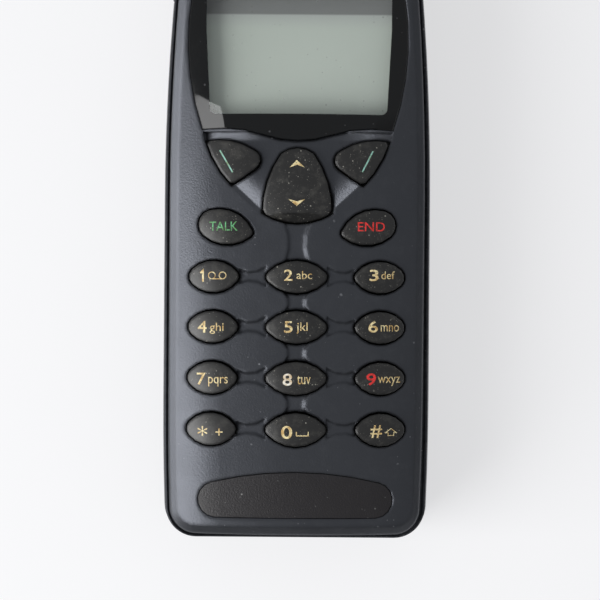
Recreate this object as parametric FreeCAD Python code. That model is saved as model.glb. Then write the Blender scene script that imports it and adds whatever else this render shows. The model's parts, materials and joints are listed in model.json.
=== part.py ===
import FreeCAD, Part
import math
import os

# A candybar mobile phone, lying on the flat back of its battery.
# X runs across the phone, to the right as its user sees it, Y towards its top and Z out of its front.
# The origin is on the resting plane, in the middle of the whole object with its aerial.

V = FreeCAD.Vector
X_AXIS = V(1, 0, 0)
Y_AXIS = V(0, 1, 0)
Z_AXIS = V(0, 0, 1)

# Overall size
body_length = 130.0
body_width = 47.5
body_height = 28.0
aerial_reach = 20.0
half_width = body_width / 2
y_tip = (body_length + aerial_reach) / 2
y_top = y_tip - aerial_reach
y_bottom = y_top - body_length
far = 2 * body_length

# Outline of the case seen from the front: straight flanks that draw in towards both ends
flank_low = 24.5
flank_high = 60.3
flank_radius_low = 487.0
flank_radius_high = 444.0
end_radius = 46.0
corner_low = 6.0
corner_high = 9.0

# Heights of the layers over the resting plane
front_depth = 10.2
board_room = 5.6
z_part = body_height - front_depth
z_battery = z_part - board_room
battery_gap = 0.3
bay_floor = 1.1
board_thickness = 1.0
lip_depth = 1.2
board_drop = 0.4
z_bay = z_battery + battery_gap
z_floor = z_bay + bay_floor
z_board_top = z_part - lip_depth - board_drop
z_board = z_board_top - board_thickness

# Rear cover
rear_wall = 2.2
back_bevel = 3.0
shoulder_width = 0.65
shoulder_depth = 5.5
rim_groove_inset = 0.95
rim_groove_width = 0.35
rim_groove_depth = 0.5
head_slope_start = 99.0
head_slope_radius = 100.0

# Front cover: a crowned shell
front_inset = 1.7
front_wall = 1.6
front_bevel = 1.6
least_radius = 0.6
lip_clearance = 0.1
lip_thickness = 0.8
crest_from_top = 43.0
length_radius = 1100.0
crown_radius = 90.0
crown_half = 0.2737 * body_width
flank_crown_radius = 28.0
crown_reach = half_width + 2.25
chord_count = 2

# Display window: barrel-shaped, with a lower edge that dips in the middle
window_dip = 69.4
window_shelf = 71.45
window_shelf_half = 0.2611 * body_width
window_dip_share = 0.46
window_low = 71.3
window_middle = 86.5
window_high = 104.0
window_crest = 106.5
window_half = 0.3983 * body_width
window_half_low = 0.3442 * body_width
window_half_high = 0.3284 * body_width
window_thickness = 1.1
window_seat = 1.2
window_ledge = 1.1
trim_clearance = 0.12

# Display under the window
lcd_half = 0.3579 * body_width
lcd_low = 72.5
lcd_high = 97.5
lcd_thickness = 1.7
lcd_frame_half = 0.3768 * body_width
lcd_frame_low = 70.6
lcd_frame_high = 99.4
lcd_drop = 4.4
lcd_setback = 0.2
guide_margin = 1.5
guide_thickness = 2.4
guide_low_margin = 0.4
guide_clearance = 0.1
lcd_strip_width = 1.6
lcd_strip_half = 0.3158 * body_width
lcd_strip_low = 0.5
lcd_strip_clearance = 0.1

# Plate over the keypad's lower edge, in its shallow recess
plate_low = 4.75
plate_high = 12.85
plate_shoulder = 11.0
plate_waist = 8.3
plate_half = 0.3547 * body_width
plate_shoulder_half = 0.3053 * body_width
plate_foot_half = 0.2926 * body_width
plate_recess = 0.4
plate_drop = 0.05
plate_clearance = 0.03

# Largest sag of the chords that stand for small arcs, and the least turn at a true corner
outline_sag = 0.07
least_turn = 35.0

# Keys
key_gap = 0.3
key_corner = 0.5
flange_width = 0.6
flange_thickness = 0.8
flange_clearance = 0.05
chord_sag = 0.25
key_travel = 0.8
stem_half = 1.2
dome_radius = 2.0
dome_sides = 6
dome_height = 0.3
dome_sheet_thickness = 0.15
dome_clearance = 0.05
mat_thickness = 0.8
mat_hole_clearance = 0.5
mat_half = 0.4042 * body_width
mat_low = 15.8
mat_high = 69.6
mat_corner = 4.0

# Number keys: four rows of three, whose outer columns fan out towards the bottom
row_places = (46.25, 37.68, 28.95, 20.15)
side_column = 0.2975 * body_width
side_column_spread = 0.115
side_key = (0.1916 * body_width, 5.95, 2.0, 1.45)
middle_key = (0.2305 * body_width, 6.1, 1.4, 1.4)
row_growth = 0.08
number_dome = 20.0
number_proud = 1.0

# Call keys: teardrops whose points face the middle
call_place = (0.2558 * body_width, 54.65)
call_key = (0.2105 * body_width, 6.4, 2.75, 1.05)
call_tilt = 13.0
call_dome = 18.0

# Soft keys and the scroll key, by points on their outlines
soft_corner = (0.3358 * body_width, 69.5)
soft_brow = (0.2408 * body_width, 69.6)
soft_tip_start = (0.1547 * body_width, 68.0)
soft_tip = (0.1282 * body_width, 65.9)
soft_tip_end = (0.1463 * body_width, 64.45)
soft_flank = (0.1916 * body_width, 62.9)
soft_point = (0.2368 * body_width, 61.55)
soft_side = (0.2937 * body_width, 65.0)
soft_middle_rise = 0.5
soft_dome = 24.0
soft_proud = 0.9
scroll_crown_half = 0.0611 * body_width
scroll_crown = 68.4
scroll_shoulder = 67.4
scroll_waist = (0.1042 * body_width, 63.6)
scroll_foot = (0.1295 * body_width, 57.0)
scroll_base = 55.15
scroll_dome = 30.0
scroll_proud = 1.1
scroll_hinge = 61.8
scroll_tilt = 3.5
scroll_lift = 0.55
scroll_stem_reach = 3.6
scroll_bevel_start = 57.1
scroll_bevel_slope = 35.0
scroll_bevel_drop = 0.5
scroll_bevel_reach = 6.0

# Basin that the scroll key and soft keys stand in, and its ramps between them
basin_tilt = 4.0
basin_hinge = 56.5
basin_margin = 0.05
basin_corner = (0.3411 * body_width, 71.0)
ramp_slope = 0.02
ramp_reach = 9.0
ramp_depth = 6.0
ramp_spare = 0.3

# Shallow channels that link the keys
channel_depth = 0.42
channel_slope = 1.3
channel_stations = (-1, -0.35, 0.35, 1)
channel_waist = 1.7
channel_flare = 3.2
channel_spare = 1.0
channel_ease = 0.2
channel_tuck = 0.4
channel_side_tuck = 0.3
spine_waist = 2.9
spine_flare = 4.4

# Screws
screw_upper = (0.2989 * body_width, 114.5)
screw_lower = (0.3642 * body_width, 13.0)
screw_radius = 0.9
screw_length = 6.1
screw_head_radius = 1.7
screw_head_height = 1.2
screw_clearance = 0.1
head_sides = 16
boss_radius = 2.1
seat_radius = 2.7
screw_head_drop = 0.2

# Earpiece
ear_place = 117.0
ear_radius = 6.5
ear_height = 3.0
gasket_radius = 7.2
gasket_bore = 4.8
gasket_height = 1.0
magnet_height = 1.2
ear_slot = (7.0, 1.2)
ear_slot_pitch = 2.4
ear_slot_count = 3

# Battery
battery_length = 92.0
battery_wall = 1.1
battery_bevel = 2.3
lid_thickness = 1.0
cell_clearance = 0.1
cell_diameter = z_battery - battery_wall - lid_thickness - 3 * cell_clearance
cell_length = 64.0
cell_low = 7.5
cell_pitch = 10.3
cell_count = 3
cell_sides = 12
strap_thickness = 0.2
strap_width = 4.8
circuit_margin = 2.0
circuit_reach = (6.0, 4.0)
circuit_thickness = 0.95
battery_travel = 6.0
terminal_x = 0.1768 * body_width
terminal_y = 85.5
terminal_pitch = 2.6
terminal_count = 4
terminal_width = 1.8
terminal_length = 5.0
terminal_slack = 0.15
terminal_inset = 0.4
terminal_leaf = 0.22
terminal_rise = 0.08
pad_depth = 0.3
pad_gap = 0.1
pad_seat = 0.01

# Hooks on the rear cover and the keyholes in the battery's lid
hook_columns = 0.3768 * body_width
hook_rows = (24.0, 66.0)
hook_length = 3.0
hook_stem = 1.4
hook_head = 3.4
hook_head_height = 0.8
hook_clearance = 0.3

# Battery catch: a lever whose tooth rides out of the rear cover on a ramp
catch_pivot = (83.5, z_battery - 5.2)
catch_pin_radius = 1.0
catch_pin_clearance = 0.05
catch_barrel = 1.6
catch_half = 3.9
catch_ear_gap = 0.3
catch_ear = 1.5
catch_ear_half = 2.0
catch_side_gap = 0.4
catch_web = 1.4
catch_neck = 1.2
catch_heel = 1.0
catch_toe = 0.2
catch_pad = (77.9, 81.1)
catch_pad_top = 2.2
catch_pad_recess = 0.4
catch_tooth = (87.4, 89.0)
catch_tooth_half = 3.0
catch_engagement = 0.65
catch_pocket = (81.6, 86.6, 89.4)
catch_pocket_depth = 0.85
catch_pocket_roof = 0.9
catch_opening = (76.5, 81.4)
catch_roof_setback = 2.0
scoop_radius = 30.0
scoop_depth = 0.5

# Card and its pocket
card_length = 15.0
card_half = 12.5
card_thickness = 0.76
card_low = 15.5
card_corner = 3.0
card_travel = 5.5
card_side = 1.2
card_clearance = 0.1
card_lip = 0.13
card_fit = 0.02
holder_lip = 1.5
contact_column = 3.8
contact_pad_half = (1.6, 0.6)
contact_pitch = 2.54
pocket_depth = 1.0
pocket_roof = 1.0

# Aerial
aerial_x = -0.2632 * body_width
aerial_z = z_part - 6.5
aerial_sides = 24
aerial_seat = 126.6
aerial_collar = 4.5
aerial_collar_length = 3.2
aerial_sleeve = 3.8
aerial_tip_bevel = 1.2
aerial_thread = 2.5
aerial_thread_length = 7.0
bushing_wall = 1.1
fit_clearance = 0.05
aerial_boss = 5.0
aerial_seat_clearance = 0.3
leaf_half = 1.2
leaf_thickness = 0.25
leaf_foot = 1.9

# Volume rocker on the left flank
volume_place = 103.5
volume_z = z_part - 5.2
volume_length = 16.0
volume_height = 3.8
volume_gap = 0.3
volume_proud = 0.5
volume_flange = 1.0
volume_end_flange = 0.5
volume_flange_thickness = 0.8
volume_inner_gap = 0.6
volume_pin_radius = 0.5
volume_pin_length = 0.6
volume_crown = 60.0

# Power key and infra-red window in the top end
power_x = 0.0947 * body_width
power_z = z_part - 5.0
power_width = 7.6
power_height = 3.4
power_travel = 0.6
power_proud = 0.35
power_flange = 0.8
power_flange_thickness = 0.8
power_flange_height = 4.6
infra_x = (0.2021 * body_width, 0.3663 * body_width)
infra_z = (z_part - 7.2, z_part - 3.2)
infra_thickness = 1.5
infra_setback = 0.05
end_reach = 8.0

# Push switches behind the edge keys
switch_width = 3.6
switch_height = 3.0
switch_depth = 2.5
switch_nose = 0.5
switch_nose_radius = 0.7
switch_throw = 0.3
switch_reach = 4.8

# Bottom connector
connector_half = 0.2105 * body_width
connector_depth = 7.8
connector_low = z_part - 4.6
connector_high = z_part - 1.2
connector_clearance = 0.15
connector_setback = 0.2
socket_margin = 0.6
socket_depth = 1.6
socket_wall = 1.0
notch_half = 0.8
notch_depth = 3.0
notch_wall = 1.2
jack_x = -0.1179 * body_width
jack_radius = 1.5
jack_depth = 6.0
contact_x = (0.4, 7.6)
contact_count = 4
contact_width = 1.2
contact_thickness = 0.34
contact_seat = 0.01
contact_margin = 1.2

# Parts on the board
rest_gap = 0.02
board_inset = 3.3
board_clearance = 0.4
can_half = 0.34 * body_width
can_rows = (36.0, 58.5, 76.0)
can_spacing = 1.0
can_wall = 0.25
can_gap = 0.15
capsule_sides = 16
buzzer_place = (0.1053 * body_width, 106.0)
buzzer_radius = 5.5
buzzer_height = 3.2
buzzer_seat_wall = 1.0
buzzer_seat_height = 2.0
buzzer_pad = 0.02
buzzer_pin = 0.5
sound_hole = 0.6
sound_pitch = 2.4
mouth_place = (0.2863 * body_width, 6.1)
mouth_radius = 2.0
mouth_height = 1.5
boot_wall = 0.6
mouth_hole = 0.6


# Basic shapes

def box(x0, x1, y0, y1, z0, z1):
    return Part.makeBox(x1 - x0, y1 - y0, z1 - z0, V(x0, y0, z0))


def rod(radius, length, x, y, z, axis=Z_AXIS):
    return Part.makeCylinder(radius, length, V(x, y, z), axis)


def post(radius, length, x, y, z, axis=Z_AXIS, sides=8):
    """Rod with flat sides, for round forms inside the case; its corners lie at the radius."""
    turns = [2 * math.pi * (i + 0.5) / sides for i in range(sides)]
    points = [V(radius * math.cos(t), radius * math.sin(t), 0) for t in turns]
    solid = Part.Face(Part.makePolygon(points + points[:1])).extrude(V(0, 0, length))
    solid.Placement = FreeCAD.Placement(V(x, y, z), FreeCAD.Rotation(Z_AXIS, axis))
    return solid


def arc(a, b, c):
    """Arc from a through b to c, each an (x, y) pair."""
    return Part.Arc(V(*a, 0), V(*b, 0), V(*c, 0)).toShape()


def line(a, b):
    return Part.LineSegment(V(*a, 0), V(*b, 0)).toShape()


def face_of(edges):
    return Part.Face(Part.Wire(edges))


def polygon(points):
    return Part.Face(Part.makePolygon([V(*p, 0) for p in points + points[:1]]))


def chorded(face):
    """The same outline with chords in place of its arcs, none further from its arc than a small sag."""
    points = []
    for edge in face.OuterWire.OrderedEdges:
        count = 1
        if hasattr(edge.Curve, "Radius"):
            radius = edge.Curve.Radius
            step = 2 * math.acos(1 - outline_sag / radius)
            count = math.ceil(edge.Length / radius / step)
        found = edge.discretize(count + 1)
        if edge.Orientation == "Reversed":
            found.reverse()
        points += found[:-1]
    return Part.Face(Part.makePolygon(points + points[:1]))


def raised(face, z0, z1):
    """Prism over a flat face drawn at height 0."""
    solid = face.copy()
    solid.translate(V(0, 0, z0))
    return solid.extrude(V(0, 0, z1 - z0))


def grown(face, distance):
    """The same outline moved outwards by a distance, or inwards where it is negative."""
    sharp_corners = 2
    return face.makeOffset2D(distance, sharp_corners)


def mirrored(shape):
    return shape.mirror(V(0, 0, 0), X_AXIS)


def joined(shapes):
    first = shapes[0]
    if len(shapes) == 1:
        return first
    return first.multiFuse(shapes[1:]).removeSplitter()


def stadium(x, y, length, width):
    """Slot outline with round ends, along X."""
    r = width / 2
    a = length / 2 - r
    return chorded(face_of([
        line((x - a, y - r), (x + a, y - r)),
        arc((x + a, y - r), (x + a + r, y), (x + a, y + r)),
        line((x + a, y + r), (x - a, y + r)),
        arc((x - a, y + r), (x - a - r, y), (x - a, y - r)),
    ]))


# Outline of the case

def circles_meet(c1, r1, c2, r2):
    """The upper crossing of two circles."""
    dx = c2[0] - c1[0]
    dy = c2[1] - c1[1]
    d = math.hypot(dx, dy)
    along = (r1 * r1 - r2 * r2 + d * d) / (2 * d)
    across = math.sqrt(r1 * r1 - along * along)
    ux = dx / d
    uy = dy / d
    found = [(c1[0] + ux * along - s * uy * across, c1[1] + uy * along + s * ux * across) for s in (1, -1)]
    return max(found, key=lambda p: p[1])


def on_circle(centre, radius, y):
    return (centre[0] + math.sqrt(radius ** 2 - (y - centre[1]) ** 2), y)


def towards(a, b, distance):
    """The point at a distance from a on the way to b."""
    d = math.hypot(b[0] - a[0], b[1] - a[1])
    return (a[0] + (b[0] - a[0]) * distance / d, a[1] + (b[1] - a[1]) * distance / d)


def corner_arc(centre, radius, a, b):
    """Arc round a corner's centre from a to b, less than half a turn."""
    middle = ((a[0] + b[0]) / 2, (a[1] + b[1]) / 2)
    return arc(a, towards(centre, middle, radius), b)


def outline(inset, z0, z1):
    """Prism over the case's outline, drawn in by an inset on every side."""
    low = (half_width - flank_radius_low, y_bottom + flank_low)
    high = (half_width - flank_radius_high, y_bottom + flank_high)
    end = (0, y_top - end_radius)
    r_low = flank_radius_low - inset
    r_high = flank_radius_high - inset
    r_end = end_radius - inset
    r_foot = max(corner_low - inset, least_radius)
    r_brow = max(corner_high - inset, least_radius)
    base = y_bottom + inset
    foot = on_circle(low, r_low - r_foot, base + r_foot)
    brow = circles_meet(high, r_high - r_brow, end, r_end - r_brow)
    p1 = (foot[0], base)
    p2 = towards(low, foot, r_low)
    p3 = (half_width - inset, low[1])
    p4 = (half_width - inset, high[1])
    p5 = towards(high, brow, r_high)
    p6 = towards(end, brow, r_end)
    rising = on_circle(low, r_low, (p2[1] + p3[1]) / 2)
    closing = on_circle(high, r_high, (p4[1] + p5[1]) / 2)
    right = [
        corner_arc(foot, r_foot, p1, p2),
        arc(p2, rising, p3),
        line(p3, p4),
        arc(p4, closing, p5),
        corner_arc(brow, r_brow, p5, p6),
    ]
    left = [e.mirror(V(0, 0, 0), X_AXIS) for e in right]
    ends = [line((-p1[0], base), p1), arc(p6, (0, end[1] + r_end), (-p6[0], p6[1]))]
    wire = Part.Wire(Part.__sortEdges__(right + left + ends))
    return raised(Part.Face(wire), z0, z1)


# Front surface

y_crest = y_top - crest_from_top


def crown(inset, flats=False):
    """Everything under the crowned front surface, lowered square to itself by an inset.

    With flats, its section has chords in place of arcs, as on the inside of the shell.
    """
    r_mid = crown_radius - inset
    r_side = flank_crown_radius - inset
    lean = math.asin(crown_half / crown_radius)
    z_mid = body_height - crown_radius
    join = (r_mid * math.sin(lean), z_mid + r_mid * math.cos(lean))
    c_side = (join[0] - r_side * math.sin(lean), join[1] - r_side * math.cos(lean))
    end_lean = math.asin((crown_reach - c_side[0]) / r_side)
    half_lean = (lean + end_lean) / 2
    half = (c_side[0] + r_side * math.sin(half_lean), c_side[1] + r_side * math.cos(half_lean))
    end = (crown_reach, c_side[1] + r_side * math.cos(end_lean))
    base = z_battery

    def point(p, side=1):
        return V(side * p[0], y_crest, p[1])

    def span(a, b, c):
        curve = Part.Arc(a, b, c).toShape()
        if not flats:
            return [curve]
        return Part.makePolygon(curve.discretize(chord_count + 1)).Edges

    edges = span(point(end, -1), point(half, -1), point(join, -1))
    edges += span(point(join, -1), point((0, z_mid + r_mid)), point(join))
    edges += span(point(join), point(half), point(end))
    edges += [
        Part.LineSegment(point(end), point((crown_reach, base))).toShape(),
        Part.LineSegment(point((crown_reach, base)), point((-crown_reach, base))).toShape(),
        Part.LineSegment(point((-crown_reach, base)), point(end, -1)).toShape(),
    ]
    section = Part.Face(Part.Wire(edges))
    pivot = V(0, y_crest, body_height - length_radius)
    spare = 4.0
    back = math.degrees(math.asin((y_crest - y_bottom + spare) / (length_radius - body_height)))
    ahead = math.degrees(math.asin((y_top + spare - y_crest) / (length_radius - body_height)))
    section.rotate(pivot, X_AXIS, back)
    return section.revolve(pivot, X_AXIS, -(back + ahead))


def front_height(x, y, inset=0.0):
    """Height of the crowned front surface."""
    lean = math.asin(crown_half / crown_radius)
    if abs(x) <= (crown_radius - inset) * math.sin(lean):
        section = body_height - crown_radius + math.sqrt((crown_radius - inset) ** 2 - x * x)
    else:
        c = crown_radius - flank_crown_radius
        z = body_height - crown_radius + c * math.cos(lean)
        r = flank_crown_radius - inset
        section = z + math.sqrt(r * r - (abs(x) - c * math.sin(lean)) ** 2)
    pivot = body_height - length_radius
    return pivot + math.sqrt((section - pivot) ** 2 - (y - y_crest) ** 2)


def front_normal(x, y):
    """Unit normal of the crowned front surface."""
    step = 0.01
    slope_x = (front_height(x + step, y) - front_height(x - step, y)) / (2 * step)
    slope_y = (front_height(x, y + step) - front_height(x, y - step)) / (2 * step)
    return V(-slope_x, -slope_y, 1).normalize()


def front_form():
    """The front cover's outer form, its upper edge taken off round the outline."""
    solid = outline(front_inset, z_part, body_height + 1).common(crown(0))
    edges = [e for e in solid.Edges if e.BoundBox.ZMin > z_part + 1 and not is_upright(e)]
    return solid.makeChamfer(front_bevel, edges)


def front_space():
    """The space inside the front cover's wall."""
    return outline(front_inset + front_wall, z_part - 1, body_height + 1).common(crown(front_wall, True))


def is_upright(edge):
    b = edge.BoundBox
    return b.XLength < 0.01 and b.YLength < 0.01


def up(y):
    """Place along the phone from a distance to its bottom end."""
    return y_bottom + y


def at(place, side=1):
    """Point from a pair of distances: across from the middle, and up from the bottom end."""
    return (side * place[0], up(place[1]))


def layer(face, top, bottom):
    """The part of a prism that lies between two depths under the front surface, its underside in flats."""
    return raised(face, z_part, body_height + 3).common(crown(top)).cut(crown(bottom, True))


def above(face, depth):
    """The part of a prism that lies over a depth under the front surface, its underside in flats."""
    return raised(face, z_part, body_height + 3).cut(crown(depth, True))


# Window, plate and keypad outlines

def window_face():
    rise = window_shelf - window_dip
    bend = 2 * math.atan(rise / window_shelf_half)
    whole = window_shelf_half / math.sin(bend)
    r_dip = whole * window_dip_share
    join_x = r_dip * math.sin(bend)
    join_y = window_dip + r_dip * (1 - math.cos(bend))
    r_rise = whole - r_dip
    mid_x = window_shelf_half - r_rise * math.sin(bend / 2)
    mid_y = window_shelf - r_rise * (1 - math.cos(bend / 2))
    low = (window_half_low, window_low)
    high = (window_half_high, window_high)
    middle = (window_half, window_middle)
    shelf = (window_shelf_half, window_shelf)
    join = (join_x, join_y)
    mid = (mid_x, mid_y)
    face = face_of([
        arc(at(join, -1), at((0, window_dip)), at(join)),
        arc(at(join), at(mid), at(shelf)),
        line(at(shelf), at(low)),
        arc(at(low), at(middle), at(high)),
        arc(at(high), at((0, window_crest)), at(high, -1)),
        arc(at(high, -1), at(middle, -1), at(low, -1)),
        line(at(low, -1), at(shelf, -1)),
        arc(at(shelf, -1), at(mid, -1), at(join, -1)),
    ])
    return chorded(face)


def plate_face():
    shoulder = (plate_shoulder_half, plate_shoulder)
    waist = (plate_half, plate_waist)
    foot = (plate_foot_half, plate_low)
    return chorded(face_of([
        line(at(foot, -1), at(foot)),
        arc(at(foot), at(waist), at(shoulder)),
        arc(at(shoulder), at((0, plate_high)), at(shoulder, -1)),
        arc(at(shoulder, -1), at(waist, -1), at(foot, -1)),
    ]))


def egg(size, inset):
    """Oval of four arcs, its first end at -X, drawn in by an inset.

    Its size is length, height and the radii of its ends.
    """
    length, height, r_first, r_second = size
    b = height / 2
    first = -length / 2 + r_first
    second = length / 2 - r_second

    def span(s):
        return math.sqrt((b - r_first) * (s - r_first)) + math.sqrt((b - r_second) * (s - r_second))

    low = b
    high = 100 * length
    for _ in range(60):
        middle = (low + high) / 2
        if span(middle) < second - first:
            low = middle
        else:
            high = middle
    r_flank = (low + b) / 2
    crest = first + math.sqrt((b - r_first) * (low - r_first))
    drop = r_flank - b

    def touch(centre, radius, side):
        reach = (radius - inset) / (r_flank - radius)
        return (centre + (centre - crest) * reach, side * drop * reach)

    a1 = touch(first, r_first, -1)
    a2 = touch(first, r_first, 1)
    b1 = touch(second, r_second, -1)
    b2 = touch(second, r_second, 1)
    return chorded(face_of([
        arc(a1, (-length / 2 + inset, 0), a2),
        arc(a2, (crest, b - inset), b2),
        arc(b2, (length / 2 - inset, 0), b1),
        arc(b1, (crest, -b + inset), a1),
    ]))


def egg_at(size, inset, place, tilt=0.0):
    face = egg(size, inset)
    face.rotate(V(0, 0, 0), Z_AXIS, tilt)
    face.translate(V(*at(place), 0))
    return face


def soft_face(inset):
    face = face_of([
        arc(at(soft_corner, -1), at(soft_brow, -1), at(soft_tip_start, -1)),
        arc(at(soft_tip_start, -1), at(soft_tip, -1), at(soft_tip_end, -1)),
        arc(at(soft_tip_end, -1), at(soft_flank, -1), at(soft_point, -1)),
        arc(at(soft_point, -1), at(soft_side, -1), at(soft_corner, -1)),
    ])
    face = chorded(face)
    return grown(face, -inset) if inset else face


def scroll_face(inset):
    shoulder = (scroll_crown_half, scroll_shoulder)
    face = face_of([
        arc(at(shoulder, -1), at((0, scroll_crown)), at(shoulder)),
        arc(at(shoulder), at(scroll_waist), at(scroll_foot)),
        arc(at(scroll_foot), at((0, scroll_base)), at(scroll_foot, -1)),
        arc(at(scroll_foot, -1), at(scroll_waist, -1), at(shoulder, -1)),
    ])
    face = chorded(face)
    return grown(face, -inset) if inset else face


def tab_face(size, place, tilt=0.0):
    """Rectangle that stands out past both ends of an oval key."""
    a = size[0] / 2 + flange_width
    b = size[1] / 2 - flange_width
    face = polygon([(-a, -b), (a, -b), (a, b), (-a, b)])
    face.rotate(V(0, 0, 0), Z_AXIS, tilt)
    face.translate(V(*at(place), 0))
    return face


def key_table():
    """Each key's name, with its outline by inset, flange outline, centre, dome radius and height."""
    soft_middle = (soft_corner[1] + soft_point[1]) / 2 + soft_middle_rise
    soft_centre = ((soft_corner[0] + soft_tip[0]) / 2, soft_middle)
    scroll_tab = scroll_face(-flange_width)
    table = {"key_scroll": (scroll_face, scroll_tab, (0, scroll_hinge), scroll_dome, scroll_proud)}
    soft_tab = soft_face(-flange_width)
    pairs = [("key_soft_left", "key_soft_right", soft_face, soft_tab, soft_centre, soft_dome, soft_proud)]
    for row, y in enumerate(row_places):
        growth = row_growth * row
        size = (middle_key[0], middle_key[1] + growth, middle_key[2], middle_key[3])

        def middle(inset, size=size, place=(0, y)):
            return egg_at(size, inset, place)

        name = ("key_2", "key_5", "key_8", "key_0")[row]
        table[name] = (middle, tab_face(size, (0, y)), (0, y), number_dome, number_proud)
        left = ("key_1", "key_4", "key_7", "key_star")[row]
        right = ("key_3", "key_6", "key_9", "key_hash")[row]
        size = (side_key[0], side_key[1] + growth, side_key[2], side_key[3])
        place = (side_column + side_column_spread * row, y)

        def side(inset, size=size, place=place):
            return egg_at(size, inset, (-place[0], place[1]))

        tab = tab_face(size, (-place[0], place[1]))
        pairs.append((left, right, side, tab, place, number_dome, number_proud))

    def call(inset):
        return egg_at(call_key, inset, (-call_place[0], call_place[1]), -call_tilt)

    tab = tab_face(call_key, (-call_place[0], call_place[1]), -call_tilt)
    pairs.append(("key_talk", "key_end", call, tab, call_place, call_dome, number_proud))
    for left, right, face, tab, place, dome, proud in pairs:
        table[left] = (face, tab, (-place[0], place[1]), dome, proud)
        table[right] = (lambda inset, face=face: mirrored(face(inset)), mirrored(tab), place, dome, proud)
    return table


# Keypad

z_sheet_top = z_board_top + dome_sheet_thickness
z_dome_top = z_sheet_top + dome_height
z_stem = z_dome_top + key_travel + dome_clearance


def stem_places():
    """Where the keys' stems stand: two under the scroll key, one under each other key."""
    places = []
    for name, entry in key_table().items():
        x, y = entry[2]
        if name == "key_scroll":
            places += [(x, y - scroll_stem_reach), (x, y + scroll_stem_reach)]
        else:
            places.append((x, y))
    return places


def flange_slab(tab, x, y, gap):
    """Flat slab under the shell, square to the key's axis and clear of the shell by a gap."""
    normal = front_normal(x, y)
    z = front_height(x, y)

    def overshoot(point):
        plane = z - (normal.x * (point.x - x) + normal.y * (point.y - y)) / normal.z
        return plane - front_height(point.x, point.y, front_wall)

    rim = tab.OuterWire.discretize(24)
    drop = max(overshoot(p) for p in rim + [V(x, y, 0)]) + chord_sag + gap
    half = 3 * call_key[0]
    plate = Part.makeBox(2 * half, 2 * half, flange_thickness, V(-half, -half, -flange_thickness))
    plate.Placement = FreeCAD.Placement(V(x, y, z - drop), FreeCAD.Rotation(Z_AXIS, normal))
    return raised(tab, z_part, body_height).common(plate).Solids[0]


def key(name, entry):
    """Domed cap, the flange that holds it under the front cover, and its stems."""
    face, tab, place, dome, proud = entry
    x, y = at(place)
    gap = scroll_lift if name == "key_scroll" else flange_clearance
    top = V(x, y, front_height(x, y)) + front_normal(x, y) * proud
    centre = top - front_normal(x, y) * dome
    ball = Part.makeSphere(dome, centre, Y_AXIS)
    ball.rotate(centre, Y_AXIS, 90)
    slab = flange_slab(tab, x, y, gap)
    cap = raised(face(key_gap), slab.CenterOfMass.z, body_height + 3)
    if name in ("key_scroll", "key_soft_left", "key_soft_right"):
        corners = [e for e in cap.Edges if is_upright(e) and sharp(e, cap)]
        cap = cap.makeChamfer(key_corner, corners)
    cap = cap.common(ball)
    if name == "key_scroll":
        cap = cap.cut(scroll_bevel())
    reaches = (0,)
    z = z_stem
    if name == "key_scroll":
        reaches = (-scroll_stem_reach, scroll_stem_reach)
        z = z_dome_top + dome_clearance
        z += (scroll_stem_reach + stem_half) * math.tan(math.radians(scroll_tilt))
    half = stem_half
    stems = [box(x - half, x + half, y + reach - half, y + reach + half, z, slab.CenterOfMass.z)
             for reach in reaches]
    return joined([cap, slab] + stems)


def sharp(edge, solid):
    """Whether the two walls that meet at an upright edge form a true corner."""
    b = edge.BoundBox.Center
    normals = []
    for f in solid.Faces:
        if any(g.isSame(edge) for g in f.Edges):
            u, v = f.Surface.parameter(b)
            normals.append(f.normalAt(u, v))
    return math.degrees(normals[0].getAngle(normals[1])) > least_turn


def scroll_bevel():
    """Wedge over the scroll key's lower edge, which slopes down towards the number keys."""
    y = up(scroll_bevel_start)
    z = front_height(0, y) + scroll_proud - scroll_bevel_drop
    reach = scroll_bevel_reach
    wedge = box(-2 * reach, 2 * reach, y - 3 * reach, y, z, z + reach)
    wedge.rotate(V(0, y, z), X_AXIS, scroll_bevel_slope)
    return wedge


def ring_wire(radius, x, y, z):
    """Six-sided outline of a snap dome, or of the room round it."""
    turns = [2 * math.pi * (i + 0.5) / dome_sides for i in range(dome_sides)]
    points = [V(x + radius * math.cos(t), y + radius * math.sin(t), z) for t in turns]
    return Part.makePolygon(points + points[:1])


def keypad_mat():
    """Rubber mat on the board, with a hole round each dome and a post under the scroll key's middle."""
    sheet = box(-mat_half, mat_half, up(mat_low), up(mat_high), z_sheet_top, z_sheet_top + mat_thickness)
    sheet = sheet.makeChamfer(mat_corner, [e for e in sheet.Edges if is_upright(e)])
    holes = [Part.Face(ring_wire(dome_radius + mat_hole_clearance, x, y, z_board_top)).extrude(V(0, 0, far))
             for x, y in map(at, stem_places())]
    x, y = at((0, scroll_hinge))
    tab = key_table()["key_scroll"][1]
    top = flange_slab(tab, x, y, scroll_lift + flange_clearance).BoundBox.ZMin
    prop = box(x - stem_half, x + stem_half, y - stem_half / 2, y + stem_half / 2, z_sheet_top, top)
    return joined([sheet.cut(holes), prop])


def dome_sheet():
    sheet = box(-mat_half, mat_half, up(mat_low), up(mat_high), z_board_top, z_sheet_top)
    domes = [Part.Face(ring_wire(dome_radius, x, y, z_sheet_top)).extrude(V(0, 0, dome_height))
             for x, y in map(at, stem_places())]
    return joined([sheet] + domes)


# Front cover

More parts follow.
